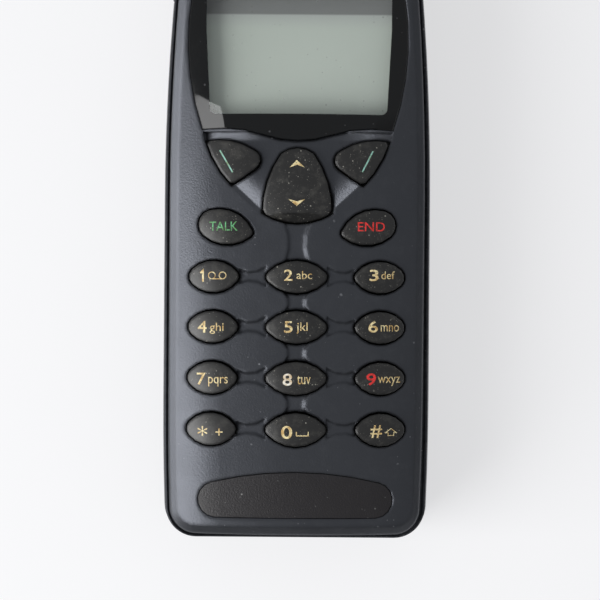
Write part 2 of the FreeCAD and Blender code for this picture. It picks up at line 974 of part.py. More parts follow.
def basin():
    """Cutter for the sunken ground of the scroll key and soft keys."""
    foot = (scroll_foot[0] + basin_margin, scroll_foot[1] - basin_margin)
    ground = polygon([
        at(basin_corner), at(soft_corner), at(soft_point), at(foot),
        at((0, scroll_foot[1])),
        at(foot, -1), at(soft_point, -1), at(soft_corner, -1), at(basin_corner, -1),
    ])
    x, y = at((0, basin_hinge))
    z = front_height(x, y)
    floor = crown(0)
    floor.rotate(V(0, y, z), X_AXIS, -basin_tilt)
    cutter = raised(ground, z_part, body_height + 3).cut(floor)
    ramp = ramp_block(at(soft_point, -1), at(foot, -1))
    return cutter.cut([ramp, mirrored(ramp)])


def ramp_block(a, b):
    """What stays under the ramp that falls inwards from the line between two points of the front."""
    p = V(a[0], a[1], front_height(*a))
    q = V(b[0], b[1], front_height(*b))
    run = q - p
    inward = V(-run.y, run.x, 0).normalize()
    fall = inward * ramp_reach - Z_AXIS * ramp_reach * ramp_slope
    spare = run * ramp_spare
    corners = [p - spare, q + spare, q + spare + fall, p - spare + fall]
    face = Part.Face(Part.makePolygon(corners + corners[:1]))
    return face.extrude(V(0, 0, -ramp_depth))


def channel(a, b, waist, flare):
    """Cutter for a shallow channel with sloped sides, narrowest half way."""
    mid = ((a[0] + b[0]) / 2, (a[1] + b[1]) / 2)
    length = math.hypot(b[0] - a[0], b[1] - a[1])
    turn = math.degrees(math.atan2(b[1] - a[1], b[0] - a[0]))

    def ring(z, widening):
        w = waist / 2 + widening
        f = flare / 2 + widening
        h = length / 2
        sides = [(h * k, w + (f - w) * k * k) for k in channel_stations]
        points = [(x, -y) for x, y in sides] + [(x, y) for x, y in reversed(sides)]
        wire = polygon(points).OuterWire
        wire.rotate(V(0, 0, 0), Z_AXIS, turn)
        wire.translate(V(mid[0], mid[1], z))
        return wire

    surface = front_height(*mid)
    low = 2 * channel_depth
    high = channel_spare
    narrow = ring(surface - low, channel_ease - low * channel_slope)
    wide = ring(surface + high, high * channel_slope)
    return Part.makeLoft([narrow, wide], True, True).cut(crown(channel_depth))


def channels():
    cutters = []
    spine = [scroll_base] + list(row_places)
    for row, y in enumerate(row_places):
        half = (middle_key[1] + row_growth * row) / 2
        above_half = (middle_key[1] + row_growth * (row - 1)) / 2 if row else 0
        start = at((0, y + half - channel_tuck))
        end = at((0, spine[row] - above_half + channel_tuck))
        cutters.append(channel(start, end, spine_waist, spine_flare))
        inner = middle_key[0] / 2 - channel_side_tuck
        outer = side_column + side_column_spread * row - side_key[0] / 2 + channel_side_tuck
        right = channel(at((inner, y)), at((outer, y)), channel_waist, channel_flare)
        cutters += [right, mirrored(right)]
    return cutters


def screw_places():
    return [(side * x, up(y)) for x, y in (screw_upper, screw_lower) for side in (-1, 1)]


def connector_space(clearance):
    c = clearance
    return box(-connector_half - c, connector_half + c, y_bottom - 1, up(connector_depth) + c,
               connector_low - c, connector_high + c)


def mouth_channel():
    x, y = at(mouth_place)
    return post(mouth_hole, mouth_place[1], x, y_bottom - 1, z_board_top + mouth_height / 2, Y_AXIS)


def front_cover():
    cover = front_form().cut(front_space())
    outer = rear_wall + lip_clearance
    lip = outline(outer, z_part - lip_depth, z_part).cut(
        outline(outer + lip_thickness, z_part - lip_depth - 1, z_part + 1))
    bosses = [post(boss_radius, body_height, x, y, z_board_top).common(crown(front_wall / 2))
              for x, y in screw_places()]
    cover = joined([cover, lip] + bosses)
    window = window_face()
    table = key_table()
    holes = [raised(entry[0](0), z_part - 2, body_height + 3) for entry in table.values()]
    screws = [post(screw_radius + fit_clearance, screw_length, x, y, z_board) for x, y in screw_places()]
    slots = [raised(stadium(0, up(ear_place) + ear_slot_pitch * (i - (ear_slot_count - 1) / 2), *ear_slot),
                    z_part, body_height + 3) for i in range(ear_slot_count)]
    cover = cover.cut([above(window, window_seat), basin(), above(plate_face(), plate_recess)])
    cover = cover.cut(channels())
    cover = cover.cut(holes + slots)
    cover = cover.cut([raised(grown(window, -window_ledge), z_part, body_height + 3), mouth_channel(),
                       connector_space(connector_clearance)] + screws)
    return cover


def display_window():
    return layer(grown(window_face(), -trim_clearance), 0, window_thickness)


def badge_plate():
    return layer(grown(plate_face(), -trim_clearance), plate_drop, plate_recess - plate_clearance)


# Rear cover

def back_form(inset=0.0):
    """The case's outer form from its flat back to the parting line, or the square-edged space inside it."""
    low = inset
    y0 = y_bottom - 5
    y1 = up(head_slope_start)
    y2 = y_top + 5
    r = head_slope_radius - inset

    def rise(y):
        return head_slope_radius - math.sqrt(r * r - (y - y1) ** 2)

    middle = (y1 + y2) / 2
    roof = body_height
    edges = [
        Part.LineSegment(V(-crown_reach, y0, low), V(-crown_reach, y1, low)).toShape(),
        Part.Arc(V(-crown_reach, y1, low), V(-crown_reach, middle, rise(middle)),
                 V(-crown_reach, y2, rise(y2))).toShape(),
        Part.LineSegment(V(-crown_reach, y2, rise(y2)), V(-crown_reach, y2, roof)).toShape(),
        Part.LineSegment(V(-crown_reach, y2, roof), V(-crown_reach, y0, roof)).toShape(),
        Part.LineSegment(V(-crown_reach, y0, roof), V(-crown_reach, y0, low)).toShape(),
    ]
    side = Part.Face(Part.Wire(edges)).extrude(V(2 * crown_reach, 0, 0))
    solid = outline(inset, -1, z_part).common(side)
    if inset:
        return solid
    edges = [e for e in solid.Edges if e.BoundBox.ZMax < z_part / 2 and not is_upright(e)]
    return solid.makeChamfer(back_bevel, edges)


def shouldered(solid):
    """The form with its upper edge tapered in towards the parting line."""
    upper = [e for e in solid.Edges if e.BoundBox.ZMin > z_part - 0.01 and not is_upright(e)]
    return solid.makeChamfer(shoulder_depth, shoulder_width, upper)


y_battery_top = up(battery_length)


def below_bay(z, y_end):
    """Everything on the battery's side: under a height and up to a place along the phone."""
    return box(-far, far, -far, y_end, -far, z)


def hook_places():
    return [(side * hook_columns, up(y)) for y in hook_rows for side in (-1, 1)]


def hook(x, y):
    """T-shaped hook that hangs from the bay's floor into the battery's keyhole."""
    head_top = z_battery - lid_thickness - hook_clearance / 2
    stem = box(x - hook_stem / 2, x + hook_stem / 2, y - hook_length / 2, y + hook_length / 2,
               head_top - 0.1, z_bay + bay_floor / 2)
    head = box(x - hook_head / 2, x + hook_head / 2, y - hook_length / 2, y + hook_length / 2,
               head_top - hook_head_height, head_top)
    return joined([stem, head])


def catch_notch():
    """Pocket in the bay's floor for the catch's tooth, with the ramp that it rides out on."""
    start, deep, end = [up(y) for y in catch_pocket]
    half = catch_tooth_half + hook_clearance
    points = [(start, z_bay - 0.1), (start, z_bay), (deep, z_bay + catch_pocket_depth),
              (end, z_bay + catch_pocket_depth), (end, z_bay - 0.1)]
    wire = Part.makePolygon([V(-half, y, z) for y, z in points + points[:1]])
    return Part.Face(wire).extrude(V(2 * half, 0, 0))


def catch_roof():
    start, deep, end = [up(y) for y in catch_pocket]
    half = catch_tooth_half + hook_clearance + pocket_roof
    return box(-half, half, start + catch_roof_setback, end + pocket_roof, z_floor - 0.1,
               z_bay + catch_pocket_depth + catch_pocket_roof)


def card_pocket():
    half = card_half + card_side
    low = card_low - card_travel - card_clearance
    high = card_low + card_length + card_clearance
    return box(-half, half, up(low), up(high), z_bay - 1, z_bay + pocket_depth)


def card_pocket_roof():
    half = card_half + card_side + pocket_roof
    low = card_low - card_travel - pocket_roof
    high = card_low + card_length + pocket_roof
    return box(-half, half, up(low), up(high), z_floor - 0.1, z_bay + pocket_depth + pocket_roof)


def terminal_places():
    """The battery's four contacts, side by side beside the catch."""
    return [(terminal_x + terminal_pitch * i, up(terminal_y)) for i in range(terminal_count)]


def flank_frame(shape):
    """Moves a shape drawn on a straight wall at X = 0, facing -X, to the left flank at the volume key."""
    y = up(volume_place)
    rise = y - up(flank_high)
    lean = math.asin(rise / flank_radius_high)
    x = half_width - flank_radius_high * (1 - math.cos(lean))
    shape.rotate(V(0, 0, 0), Z_AXIS, -math.degrees(lean))
    shape.translate(V(-x, y, volume_z))
    return shape


def flank_slab(length, height, x0, x1):
    """Slab with round ends that lies along the flank, between two depths behind its surface."""
    face = stadium(0, 0, length, height)
    face.rotate(V(0, 0, 0), Z_AXIS, 90)
    face.rotate(V(0, 0, 0), Y_AXIS, 90)
    face.translate(V(x0, 0, 0))
    return face.extrude(V(x1 - x0, 0, 0))


def volume_pins(clearance):
    reach = volume_height / 2 + volume_pin_length + clearance
    return Part.makeCylinder(volume_pin_radius + clearance, 2 * reach, V(rear_wall / 2, 0, -reach))


def end_slab(width, height, x, z, y0, y1):
    """Slab with round ends that lies across the top end, between two places along the phone."""
    face = stadium(0, 0, width, height)
    face.rotate(V(0, 0, 0), X_AXIS, 90)
    face.translate(V(x, y0, z))
    return face.extrude(V(0, y1 - y0, 0))


def screw_tube(x, y):
    return post(seat_radius, z_board, x, y, 0)


def buzzer_floor():
    """Height of the inside of the head's back at the buzzer."""
    y = up(buzzer_place[1])
    r = head_slope_radius - rear_wall
    return head_slope_radius - math.sqrt(r * r - (y - up(head_slope_start)) ** 2)


def rear_shell():
    """The case's lower half with the battery's bay cut out of its back."""
    bay = below_bay(z_bay, y_battery_top + battery_gap)
    over_bay = box(-far, far, -far, far, z_floor, z_part + 1)
    head = box(-far, far, y_battery_top + battery_gap + rear_wall, far, -far, z_part + 1)
    inner = back_form(rear_wall).common(joined([over_bay, head]))
    return shouldered(back_form()).cut([bay, inner])


def rear_additions():
    """Bosses, raised pocket roofs, buzzer seat and hooks of the rear cover."""
    form = back_form()
    bay = below_bay(z_bay, y_battery_top + battery_gap)
    shapes = [screw_tube(x, y).common(form).cut(bay) for x, y in screw_places()]
    y = up(aerial_seat) - aerial_thread_length
    boss = post(aerial_boss, aerial_thread_length, aerial_x, y, aerial_z, Y_AXIS)
    x, y = at(buzzer_place)
    height = buzzer_floor() + buzzer_seat_height
    seat = post(buzzer_radius + buzzer_seat_wall, height, x, y, 0, sides=capsule_sides)
    shapes += [boss.common(form), seat.common(form)]
    shapes += [catch_roof(), card_pocket_roof()]
    return shapes + [hook(x, y) for x, y in hook_places()]


def rim_groove():
    """Narrow groove that runs round the rim beside the front cover."""
    ring = outline(rim_groove_inset, z_part - rim_groove_depth, z_part + 1)
    return ring.cut(outline(rim_groove_inset + rim_groove_width, z_part - 1, z_part + 2))


def rear_openings():
    """Cutters for everything that passes through the rear cover or is let into it."""
    cuts = [rim_groove(), catch_notch(), card_pocket(), connector_space(connector_clearance), mouth_channel()]
    for x, y in screw_places():
        head_top = z_bay + screw_head_drop + screw_head_height
        cuts.append(post(screw_head_radius + screw_clearance, head_top, x, y, 0, sides=head_sides))
        cuts.append(post(screw_radius + screw_clearance, far, x, y, 0))
    y = up(aerial_seat)
    cuts.append(rod(aerial_collar + aerial_seat_clearance, far, aerial_x, y, aerial_z, Y_AXIS))
    bore = aerial_thread + fit_clearance + bushing_wall + fit_clearance
    cuts.append(post(bore, far, aerial_x, y - aerial_thread_length - 1, aerial_z, Y_AXIS))
    gap = 2 * volume_gap
    slot = flank_slab(volume_length + gap, volume_height + gap, -2 * rear_wall, 2 * rear_wall)
    cuts.append(flank_frame(joined([slot, volume_pins(fit_clearance)])))
    cuts.append(end_slab(power_width + 2 * key_gap, power_height + 2 * key_gap, power_x, power_z,
                         y_top - end_reach, far))
    cuts.append(box(infra_x[0], infra_x[1], y_top - end_reach, far, infra_z[0], infra_z[1]))
    x, y = at(buzzer_place)
    cuts.append(post(buzzer_radius + fit_clearance, far, x, y, buzzer_floor(), sides=capsule_sides))
    for i in range(-1, 2):
        cuts.append(post(sound_hole, far, x + sound_pitch * i, y, -far / 2))
    places = terminal_places()
    half = (terminal_length + terminal_width) / 2
    cuts.append(box(places[0][0] - terminal_width, places[-1][0] + terminal_width,
                    places[0][1] - half, places[0][1] + half, z_bay - 1, z_floor + 1))
    return cuts


def rear_cover():
    cover = rear_shell()
    for shape in rear_additions():
        cover = cover.fuse(shape)
    for shape in rear_openings():
        cover = cover.cut(shape)
    return cover


# Battery

def battery_case():
    y_end = y_battery_top
    case = back_form().common(below_bay(z_battery, y_end))
    space = outline(battery_wall, battery_wall, z_battery + 1).common(below_bay(far, y_end - battery_wall))
    low = [e for e in space.Edges if e.BoundBox.ZMax < battery_wall + 0.1]
    case = case.cut(space.makeChamfer(battery_bevel, low))
    y, z = up(catch_pivot[0]), catch_pivot[1]
    ears = []
    for side in (-1, 1):
        x0 = side * (catch_half + catch_ear_gap)
        x1 = x0 + side * catch_ear
        ears.append(box(min(x0, x1), max(x0, x1), y - catch_ear_half, y + catch_ear_half,
                        battery_wall - 0.1, z + catch_ear_half))
    case = joined([case] + ears)
    reach = catch_half + catch_ear_gap + 2 * catch_ear
    pin = rod(catch_pin_radius + catch_pin_clearance, 2 * reach, -reach, y, z, X_AXIS)
    half = catch_half + catch_side_gap
    opening = box(-half, half, up(catch_opening[0]), up(catch_opening[1]), -1, battery_wall + 1)
    pad_middle = (up(catch_opening[0]) + up(catch_opening[1])) / 2
    scoop = Part.makeSphere(scoop_radius, V(0, pad_middle, scoop_depth - scoop_radius), Y_AXIS)
    return case.cut([pin, opening, scoop])


def keyhole(x, y):
    """Hole for a hook: narrow where the hook holds, wide where it comes out."""
    c = hook_clearance
    half = hook_length / 2
    low = z_battery - lid_thickness - 1
    high = z_battery + 1
    a = hook_stem / 2 + c
    b = hook_head / 2 + c
    open_y = y + battery_travel
    narrow = box(x - a, x + a, y - half - c, open_y + half, low, high)
    wide = box(x - b, x + b, open_y - half - c, open_y + half + c, low, high)
    return joined([narrow, wide])


def battery_lid():
    inset = battery_wall + trim_clearance
    lid = outline(inset, z_battery - lid_thickness, z_battery).common(
        below_bay(far, y_battery_top - inset))
    tooth = box(-catch_tooth_half - hook_clearance, catch_tooth_half + hook_clearance,
                up(catch_tooth[0]) - hook_clearance, far, -far, far)
    half = terminal_width / 2 + pad_gap
    reach = terminal_length / 2 + pad_gap
    pads = [box(x - half, x + half, y - reach, y + reach, z_battery - pad_depth, far)
            for x, y in terminal_places()]
    return lid.cut([keyhole(x, y) for x, y in hook_places()] + [tooth] + pads)


def cell_places():
    z = battery_wall + cell_clearance + cell_diameter / 2
    return [((i - (cell_count - 1) / 2) * cell_pitch, up(cell_low), z) for i in range(cell_count)]


def battery_cells():
    return Part.makeCompound([
        post(cell_diameter / 2, cell_length, x, y, z, Y_AXIS, cell_sides) for x, y, z in cell_places()])


def cell_straps():
    """Nickel straps that join the cells in series, end to end."""
    places = cell_places()
    z = places[0][2]
    low = places[0][1] - strap_thickness - rest_gap
    high = places[0][1] + cell_length + rest_gap
    x = [p[0] for p in places]
    half = strap_width / 2
    joins = [(x[0], x[0], low), (x[0], x[1], high), (x[1], x[2], low), (x[2], x[2], high)]
    return Part.makeCompound([
        box(a - half, b + half, y, y + strap_thickness, z - half, z + half) for a, b, y in joins])


def battery_circuit():
    places = terminal_places()
    y = places[0][1]
    top = z_battery - lid_thickness - fit_clearance
    return box(places[0][0] - circuit_margin, places[-1][0] + circuit_margin,
               y - circuit_reach[0], y + circuit_reach[1], top - circuit_thickness, top)


def battery_contacts():
    return Part.makeCompound([
        box(x - terminal_width / 2, x + terminal_width / 2, y - terminal_length / 2, y + terminal_length / 2,
            z_battery - pad_depth + pad_seat, z_battery - rest_gap) for x, y in terminal_places()])


def battery_latch():
    """Lever on a pin: a thumb pad in the battery's back, and a tooth that stands into the rear cover."""
    y, z = up(catch_pivot[0]), catch_pivot[1]
    a, b = up(catch_pad[0]), up(catch_pad[1])
    c, d = up(catch_tooth[0]), up(catch_tooth[1])
    top = z_bay + catch_engagement
    pin_reach = catch_half + catch_ear_gap + 0.8 * catch_ear
    pad = box(-catch_half, catch_half, a, b, catch_pad_recess, catch_pad_top)
    root = catch_pad_top - 0.1
    web = polygon_prism([
        (b - catch_web, root), (b, root), (y + catch_neck, z - catch_heel), (d, z - catch_toe),
        (d, top), (c, top), (c, z + catch_neck), (y - catch_heel, z + catch_neck),
    ], catch_tooth_half)
    barrel = post(catch_barrel, 2 * catch_half, -catch_half, y, z, X_AXIS)
    pin = rod(catch_pin_radius, 2 * pin_reach, -pin_reach, y, z, X_AXIS)
    return joined([pad, web, barrel, pin])


def polygon_prism(points, half):
    """Prism across the phone from a polygon of (y, z) points."""
    wire = Part.makePolygon([V(-half, y, z) for y, z in points + points[:1]])
    return Part.Face(wire).extrude(V(2 * half, 0, 0))


# Card

def sim_card():
    low, high = up(card_low), up(card_low + card_length)
    z = z_bay + card_lip + card_fit
    card = box(-card_half, card_half, low, high, z, z + card_thickness)
    cut = polygon([
        (card_half - card_corner, low - 1), (card_half + 1, low - 1), (card_half + 1, low + card_corner + 1),
        (card_half, low + card_corner), (card_half - card_corner, low),
    ])
    return card.cut(raised(cut, z - 1, z + 2))


def sim_holder():
    """Metal bracket, hook-shaped in section, that holds the card's rear half up in its pocket."""
    half = card_half + card_side - fit_clearance
    low = up(card_low + card_length / 2)
    high = up(card_low + card_length)
    z = z_bay + card_fit
    bracket = box(-half, half, low, high + card_clearance - fit_clearance, z, z_bay + pocket_depth - card_fit)
    reach = card_half + card_clearance
    passage = box(-reach, reach, low - 1, high + 1, z_bay + card_lip, z_part)
    sight = box(-card_half + holder_lip, card_half - holder_lip, low - 1, high - holder_lip, 0, z_part)
    return bracket.cut([passage, sight])


def sim_contacts():
    z = z_bay + card_lip + card_thickness + 2 * card_fit
    spots = []
    for i in range(-1, 2):
        for side in (-1, 1):
            x = side * contact_column
            y = up(card_low + card_length / 2) + contact_pitch * i
            a, b = contact_pad_half
            spots.append(box(x - a, x + a, y - b, y + b, z, z_bay + pocket_depth))
    return Part.makeCompound(spots)


# Aerial

def antenna():
    """Stub aerial: threaded stud, collar against the case, and a sleeve with a bevelled tip."""
    seat = up(aerial_seat) + fit_clearance
    low = seat - aerial_thread_length
    stud = post(aerial_thread, aerial_thread_length + 1, aerial_x, low, aerial_z, Y_AXIS)
    collar = post(aerial_collar, aerial_collar_length, aerial_x, seat, aerial_z, Y_AXIS, aerial_sides)
    sleeve = post(aerial_sleeve, y_tip - seat, aerial_x, seat, aerial_z, Y_AXIS, aerial_sides)
    tip = [e for e in sleeve.Edges if e.BoundBox.YMin > y_tip - 0.1]
    return joined([stud, collar, sleeve.makeChamfer(aerial_tip_bevel, tip)])


def antenna_bushing():
    y = up(aerial_seat)
    outer = post(aerial_thread + fit_clearance + bushing_wall, aerial_thread_length, aerial_x,
                 y - aerial_thread_length, aerial_z, Y_AXIS)
    return outer.cut(post(aerial_thread + fit_clearance, far, aerial_x, y - far / 2, aerial_z, Y_AXIS))


def antenna_contact():
    """Leaf from the board to the aerial's brass bushing."""
    y = up(aerial_seat) - aerial_thread_length - fit_clearance
    back = y - leaf_thickness
    x0 = aerial_x - leaf_half
    x1 = aerial_x + leaf_half
    return joined([
        box(x0, x1, back, y, aerial_z + leaf_half, z_board),
        box(x0, x1, back - leaf_foot, back, z_board - leaf_thickness, z_board),
    ])


# Keys on the edges

def volume_key():
    depth = rear_wall + volume_inner_gap
    pad = flank_slab(volume_length, volume_height, -volume_proud, depth + fit_clearance)
    crest = rod(volume_crown, 2 * volume_height, volume_crown - volume_proud, 0, -volume_height)
    half = volume_length / 2 + volume_end_flange
    reach = (volume_height + volume_flange) / 2
    flange = box(depth, depth + volume_flange_thickness, -half, half, -reach, reach)
    return flank_frame(joined([pad.common(crest), flange, volume_pins(0)]))


def power_flange_place():
    """Where the power key's flange stops behind the curved end wall."""
    reach = abs(power_x) + power_width / 2 + power_flange
    return end_curve(reach, rear_wall) - 2 * fit_clearance


def power_key():
    y = power_flange_place()
    key = end_slab(power_width, power_height, power_x, power_z, y - fit_clearance, y_tip)
    key = key.common(outline(-power_proud, 0, z_part))
    flange = end_slab(power_width + 2 * power_flange, power_flange_height, power_x, power_z,
                      y - power_flange_thickness, y)
    return joined([key, flange])


def end_curve(x, inset):
    """Place of the top end's curved wall, or of its inside."""
    r = end_radius - inset
    return y_top - end_radius + math.sqrt(r * r - x * x)


def edge_switches():
    """Small push switches on the board: two for the volume key, one for the power key."""
    depth = rear_wall + volume_inner_gap + volume_flange_thickness + switch_throw
    low = -switch_height / 2
    shapes = []
    for side in (-1, 1):
        place = side * switch_reach
        body = box(depth + switch_nose, depth + switch_nose + switch_depth,
                   place - switch_width / 2, place + switch_width / 2, low, z_board - volume_z)
        nose = post(switch_nose_radius, switch_nose + 0.1, depth, place, 0, X_AXIS)
        shapes.append(flank_frame(joined([body, nose])))
    y = power_flange_place() - power_flange_thickness - power_travel - fit_clearance
    body = box(power_x - switch_width / 2, power_x + switch_width / 2, y - switch_nose - switch_depth,
               y - switch_nose, power_z + low, z_board)
    nose = post(switch_nose_radius, switch_nose + 0.1, power_x, y - switch_nose - 0.1, power_z, Y_AXIS)
    shapes.append(joined([body, nose]))
    return Part.makeCompound(shapes)


def ir_window():
    gap = trim_clearance / 2
    plate = outline(infra_setback, infra_z[0] + gap, infra_z[1] - gap).cut(
        outline(infra_setback + infra_thickness, infra_z[0] - 1, infra_z[1] + 1))
    return plate.common(box(infra_x[0] + gap, infra_x[1] - gap, y_top - end_reach + gap, far, -far, far))


# Bottom end

def bottom_connector():
    block = box(-connector_half, connector_half, y_bottom + connector_setback, up(connector_depth),
                connector_low, connector_high)
    z = (connector_low + connector_high) / 2
    jack = rod(jack_radius, jack_depth + connector_setback, jack_x, y_bottom, z, Y_AXIS)
    mouth = box(contact_x[0] - socket_margin, contact_x[1] + socket_margin, y_bottom, y_bottom + socket_depth,
                connector_low + socket_wall, connector_high - socket_wall)
    notches = []
    for side in (-1, 1):
        x = side * connector_half
        notches.append(box(x - notch_half, x + notch_half, y_bottom, y_bottom + notch_depth,
                           connector_low + notch_wall, connector_high - notch_wall))
    return block.cut([jack, mouth] + notches)


def connector_contacts():
    pitch = (contact_x[1] - contact_x[0] - contact_width) / (contact_count - 1)
    strips = []
    for i in range(contact_count):
        x = contact_x[0] + pitch * i
        back = y_bottom + socket_depth - contact_seat
        strips.append(box(x, x + contact_width, back - contact_thickness, back,
                          connector_low + contact_margin, connector_high - contact_margin))
    return Part.makeCompound(strips)


def microphone():
    x, y = at(mouth_place)
    return post(mouth_radius, mouth_height, x, y, z_board_top + rest_gap)


def microphone_boot():
    x, y = at(mouth_place)
    bore = mouth_radius + rest_gap
    sleeve = post(bore + boot_wall, mouth_height + boot_wall + rest_gap, x, y, z_board_top + rest_gap)
    return sleeve.cut([post(bore, mouth_height + rest_gap, x, y, z_board_top), mouth_channel()])


# Board and what it carries

def main_board():
    board = outline(board_inset, z_board, z_board_top)
    cuts = [connector_space(2 * connector_clearance)]
    cuts += [post(screw_radius + board_clearance, far, x, y, 0) for x, y in screw_places()]
    room = volume_length / 2 + volume_flange + 2 * board_clearance
    depth = rear_wall + volume_inner_gap + volume_flange_thickness + switch_throw + board_clearance
    cuts.append(flank_frame(box(-depth, depth, -room, room, -depth, 2 * depth)))
    cuts.append(post(aerial_boss + board_clearance, far, aerial_x,
                     up(aerial_seat) - aerial_thread_length - board_clearance, aerial_z, Y_AXIS))
    return board.cut(cuts)


def shield_can(x0, x1, y0, y1):
    """Thin metal can, open towards the board."""
    low = z_floor + can_gap
    outer = box(x0, x1, y0, y1, low, z_board)
    w = can_wall
    return outer.cut(box(x0 + w, x1 - w, y0 + w, y1 - w, low + w, z_board + 1))


def shield_cans():
    low, middle, high = can_rows
    gap = can_spacing / 2
    return Part.makeCompound([
        shield_can(-can_half, -gap, up(low), up(high)),
        shield_can(gap, can_half, up(low), up(middle) - gap),
        shield_can(gap, can_half, up(middle) + gap, up(high)),
    ])


def lcd_top():
    """Top of the display's frame: under the window, and clear of the shell's inside at its corners."""
    corner = front_height(lcd_frame_half, up(lcd_frame_high), front_wall)
    return min(body_height - lcd_drop, corner - chord_sag - fit_clearance)


def lcd_glass():
    """Glass of the display, let into its frame."""
    low, high = up(lcd_low), up(lcd_high)
    z = lcd_top() - lcd_thickness
    half = lcd_half - trim_clearance
    return box(-half, half, low + trim_clearance, high - trim_clearance, z, lcd_top() - lcd_setback)


def lcd_frame():
    top = lcd_top()
    frame = box(-lcd_frame_half, lcd_frame_half, up(lcd_frame_low), up(lcd_frame_high), z_board_top, top)
    glass = box(-lcd_half, lcd_half, up(lcd_low), up(lcd_high), top - lcd_thickness - rest_gap, far)
    m = guide_margin
    guide = box(-lcd_half + m, lcd_half - m, up(lcd_low) + m + lcd_strip_width + guide_low_margin,
                up(lcd_high) - m, z_board_top - 1, far)
    c = lcd_strip_clearance
    low = up(lcd_low) + lcd_strip_low
    high = low + lcd_strip_width
    strip = box(-lcd_strip_half - c, lcd_strip_half + c, low - c, high + c, z_board_top - 1, far)
    return frame.cut([glass, guide, strip])


def light_guide():
    m = guide_margin + guide_clearance
    z = lcd_top() - lcd_thickness - guide_clearance
    return box(-lcd_half + m, lcd_half - m, up(lcd_low) + m + lcd_strip_width + guide_low_margin,
               up(lcd_high) - m, z - guide_thickness, z)


def lcd_connector():
    """Elastomer strip that joins the glass to the board."""
    low = up(lcd_low) + lcd_strip_low
    return box(-lcd_strip_half, lcd_strip_half, low, low + lcd_strip_width,
               z_board_top + rest_gap, lcd_top() - lcd_thickness - 2 * rest_gap)


def earpiece():
    x, y = 0, up(ear_place)
    top = gasket_top() - gasket_height
    body = post(ear_radius, ear_height, x, y, top - ear_height - rest_gap, sides=capsule_sides)
    magnet = post(ear_radius / 2, magnet_height, x, y, top - ear_height - magnet_height)
    return joined([body, magnet])


def gasket_top():
    """The height at which the gasket meets the shell's inside at its outer rim."""
    y = up(ear_place)
    return front_height(gasket_radius, y + gasket_radius, front_wall) - chord_sag


def earpiece_gasket():
    y = up(ear_place)
    ring = post(gasket_radius, gasket_height, 0, y, gasket_top() - gasket_height, sides=capsule_sides)
    return ring.cut(post(gasket_bore, far, 0, y, 0, sides=capsule_sides))


def buzzer():
    x, y = at(buzzer_place)
    return post(buzzer_radius, buzzer_height, x, y, buzzer_floor() + buzzer_pad, sides=capsule_sides)


def buzzer_contacts():
    """Two spring pins between the buzzer and the board."""
    x, y = at(buzzer_place)
    z = buzzer_floor() + buzzer_pad + buzzer_height
    return Part.makeCompound([
        post(buzzer_pin, z_board - z, x + side * buzzer_radius / 2, y, z) for side in (-1, 1)])


def battery_terminals():
    """Spring leaves on the board that reach through the bay's floor to the battery."""
    leaves = []
    for x, y in terminal_places():
        half = terminal_width / 2 - terminal_slack
        reach = terminal_length / 2 - terminal_inset
        low = z_battery + terminal_rise
        foot = box(x - half, x + half, y - reach, y + reach, low, low + terminal_leaf)
        leg = box(x - half, x + half, y + reach - terminal_leaf, y + reach, low, z_board)
        leaves.append(joined([foot, leg]))
    return Part.makeCompound(leaves)


def case_screws():
    screws = []
    for x, y in screw_places():
        z = z_bay + screw_head_drop
        head = post(screw_head_radius, screw_head_height, x, y, z, sides=head_sides)
        shank = post(screw_radius, screw_length + screw_head_height / 2, x, y, z + screw_head_height / 2)
        screws.append(joined([head, shank]))
    return Part.makeCompound(screws)


def pieces():
    """Every piece by its name."""
    table = {
        "front_cover": front_cover,
        "display_window": display_window,
        "badge_plate": badge_plate,
        "keypad_mat": keypad_mat,
        "dome_sheet": dome_sheet,
        "rear_cover": rear_cover,
        "case_screws": case_screws,
        "main_board": main_board,
        "shield_cans": shield_cans,
        "lcd_glass": lcd_glass,
        "lcd_frame": lcd_frame,
        "light_guide": light_guide,
        "lcd_connector": lcd_connector,
        "earpiece": earpiece,
        "earpiece_gasket": earpiece_gasket,
        "buzzer": buzzer,
        "buzzer_contacts": buzzer_contacts,
        "microphone": microphone,
        "microphone_boot": microphone_boot,
        "bottom_connector": bottom_connector,
        "connector_contacts": connector_contacts,
        "antenna": antenna,
        "antenna_bushing": antenna_bushing,
        "antenna_contact": antenna_contact,
        "volume_key": volume_key,
        "power_key": power_key,
        "edge_switches": edge_switches,
        "ir_window": ir_window,
        "sim_card": sim_card,
        "sim_holder": sim_holder,
        "sim_contacts": sim_contacts,
        "battery_terminals": battery_terminals,
        "battery_case": battery_case,
        "battery_lid": battery_lid,
        "battery_cells": battery_cells,
        "cell_straps": cell_straps,
        "battery_circuit": battery_circuit,
        "battery_contacts": battery_contacts,
        "battery_latch": battery_latch,
    }
    for name, entry in key_table().items():
        table[name] = lambda name=name, entry=entry: key(name, entry)
    return table


if __name__ == "__main__":
    os.makedirs("parts", exist_ok=True)
    for name, make in pieces().items():
        make().exportStep("parts/" + name + ".step")
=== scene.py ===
import json
import math

import bmesh
import bpy
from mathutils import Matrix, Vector
from mathutils.bvhtree import BVHTree

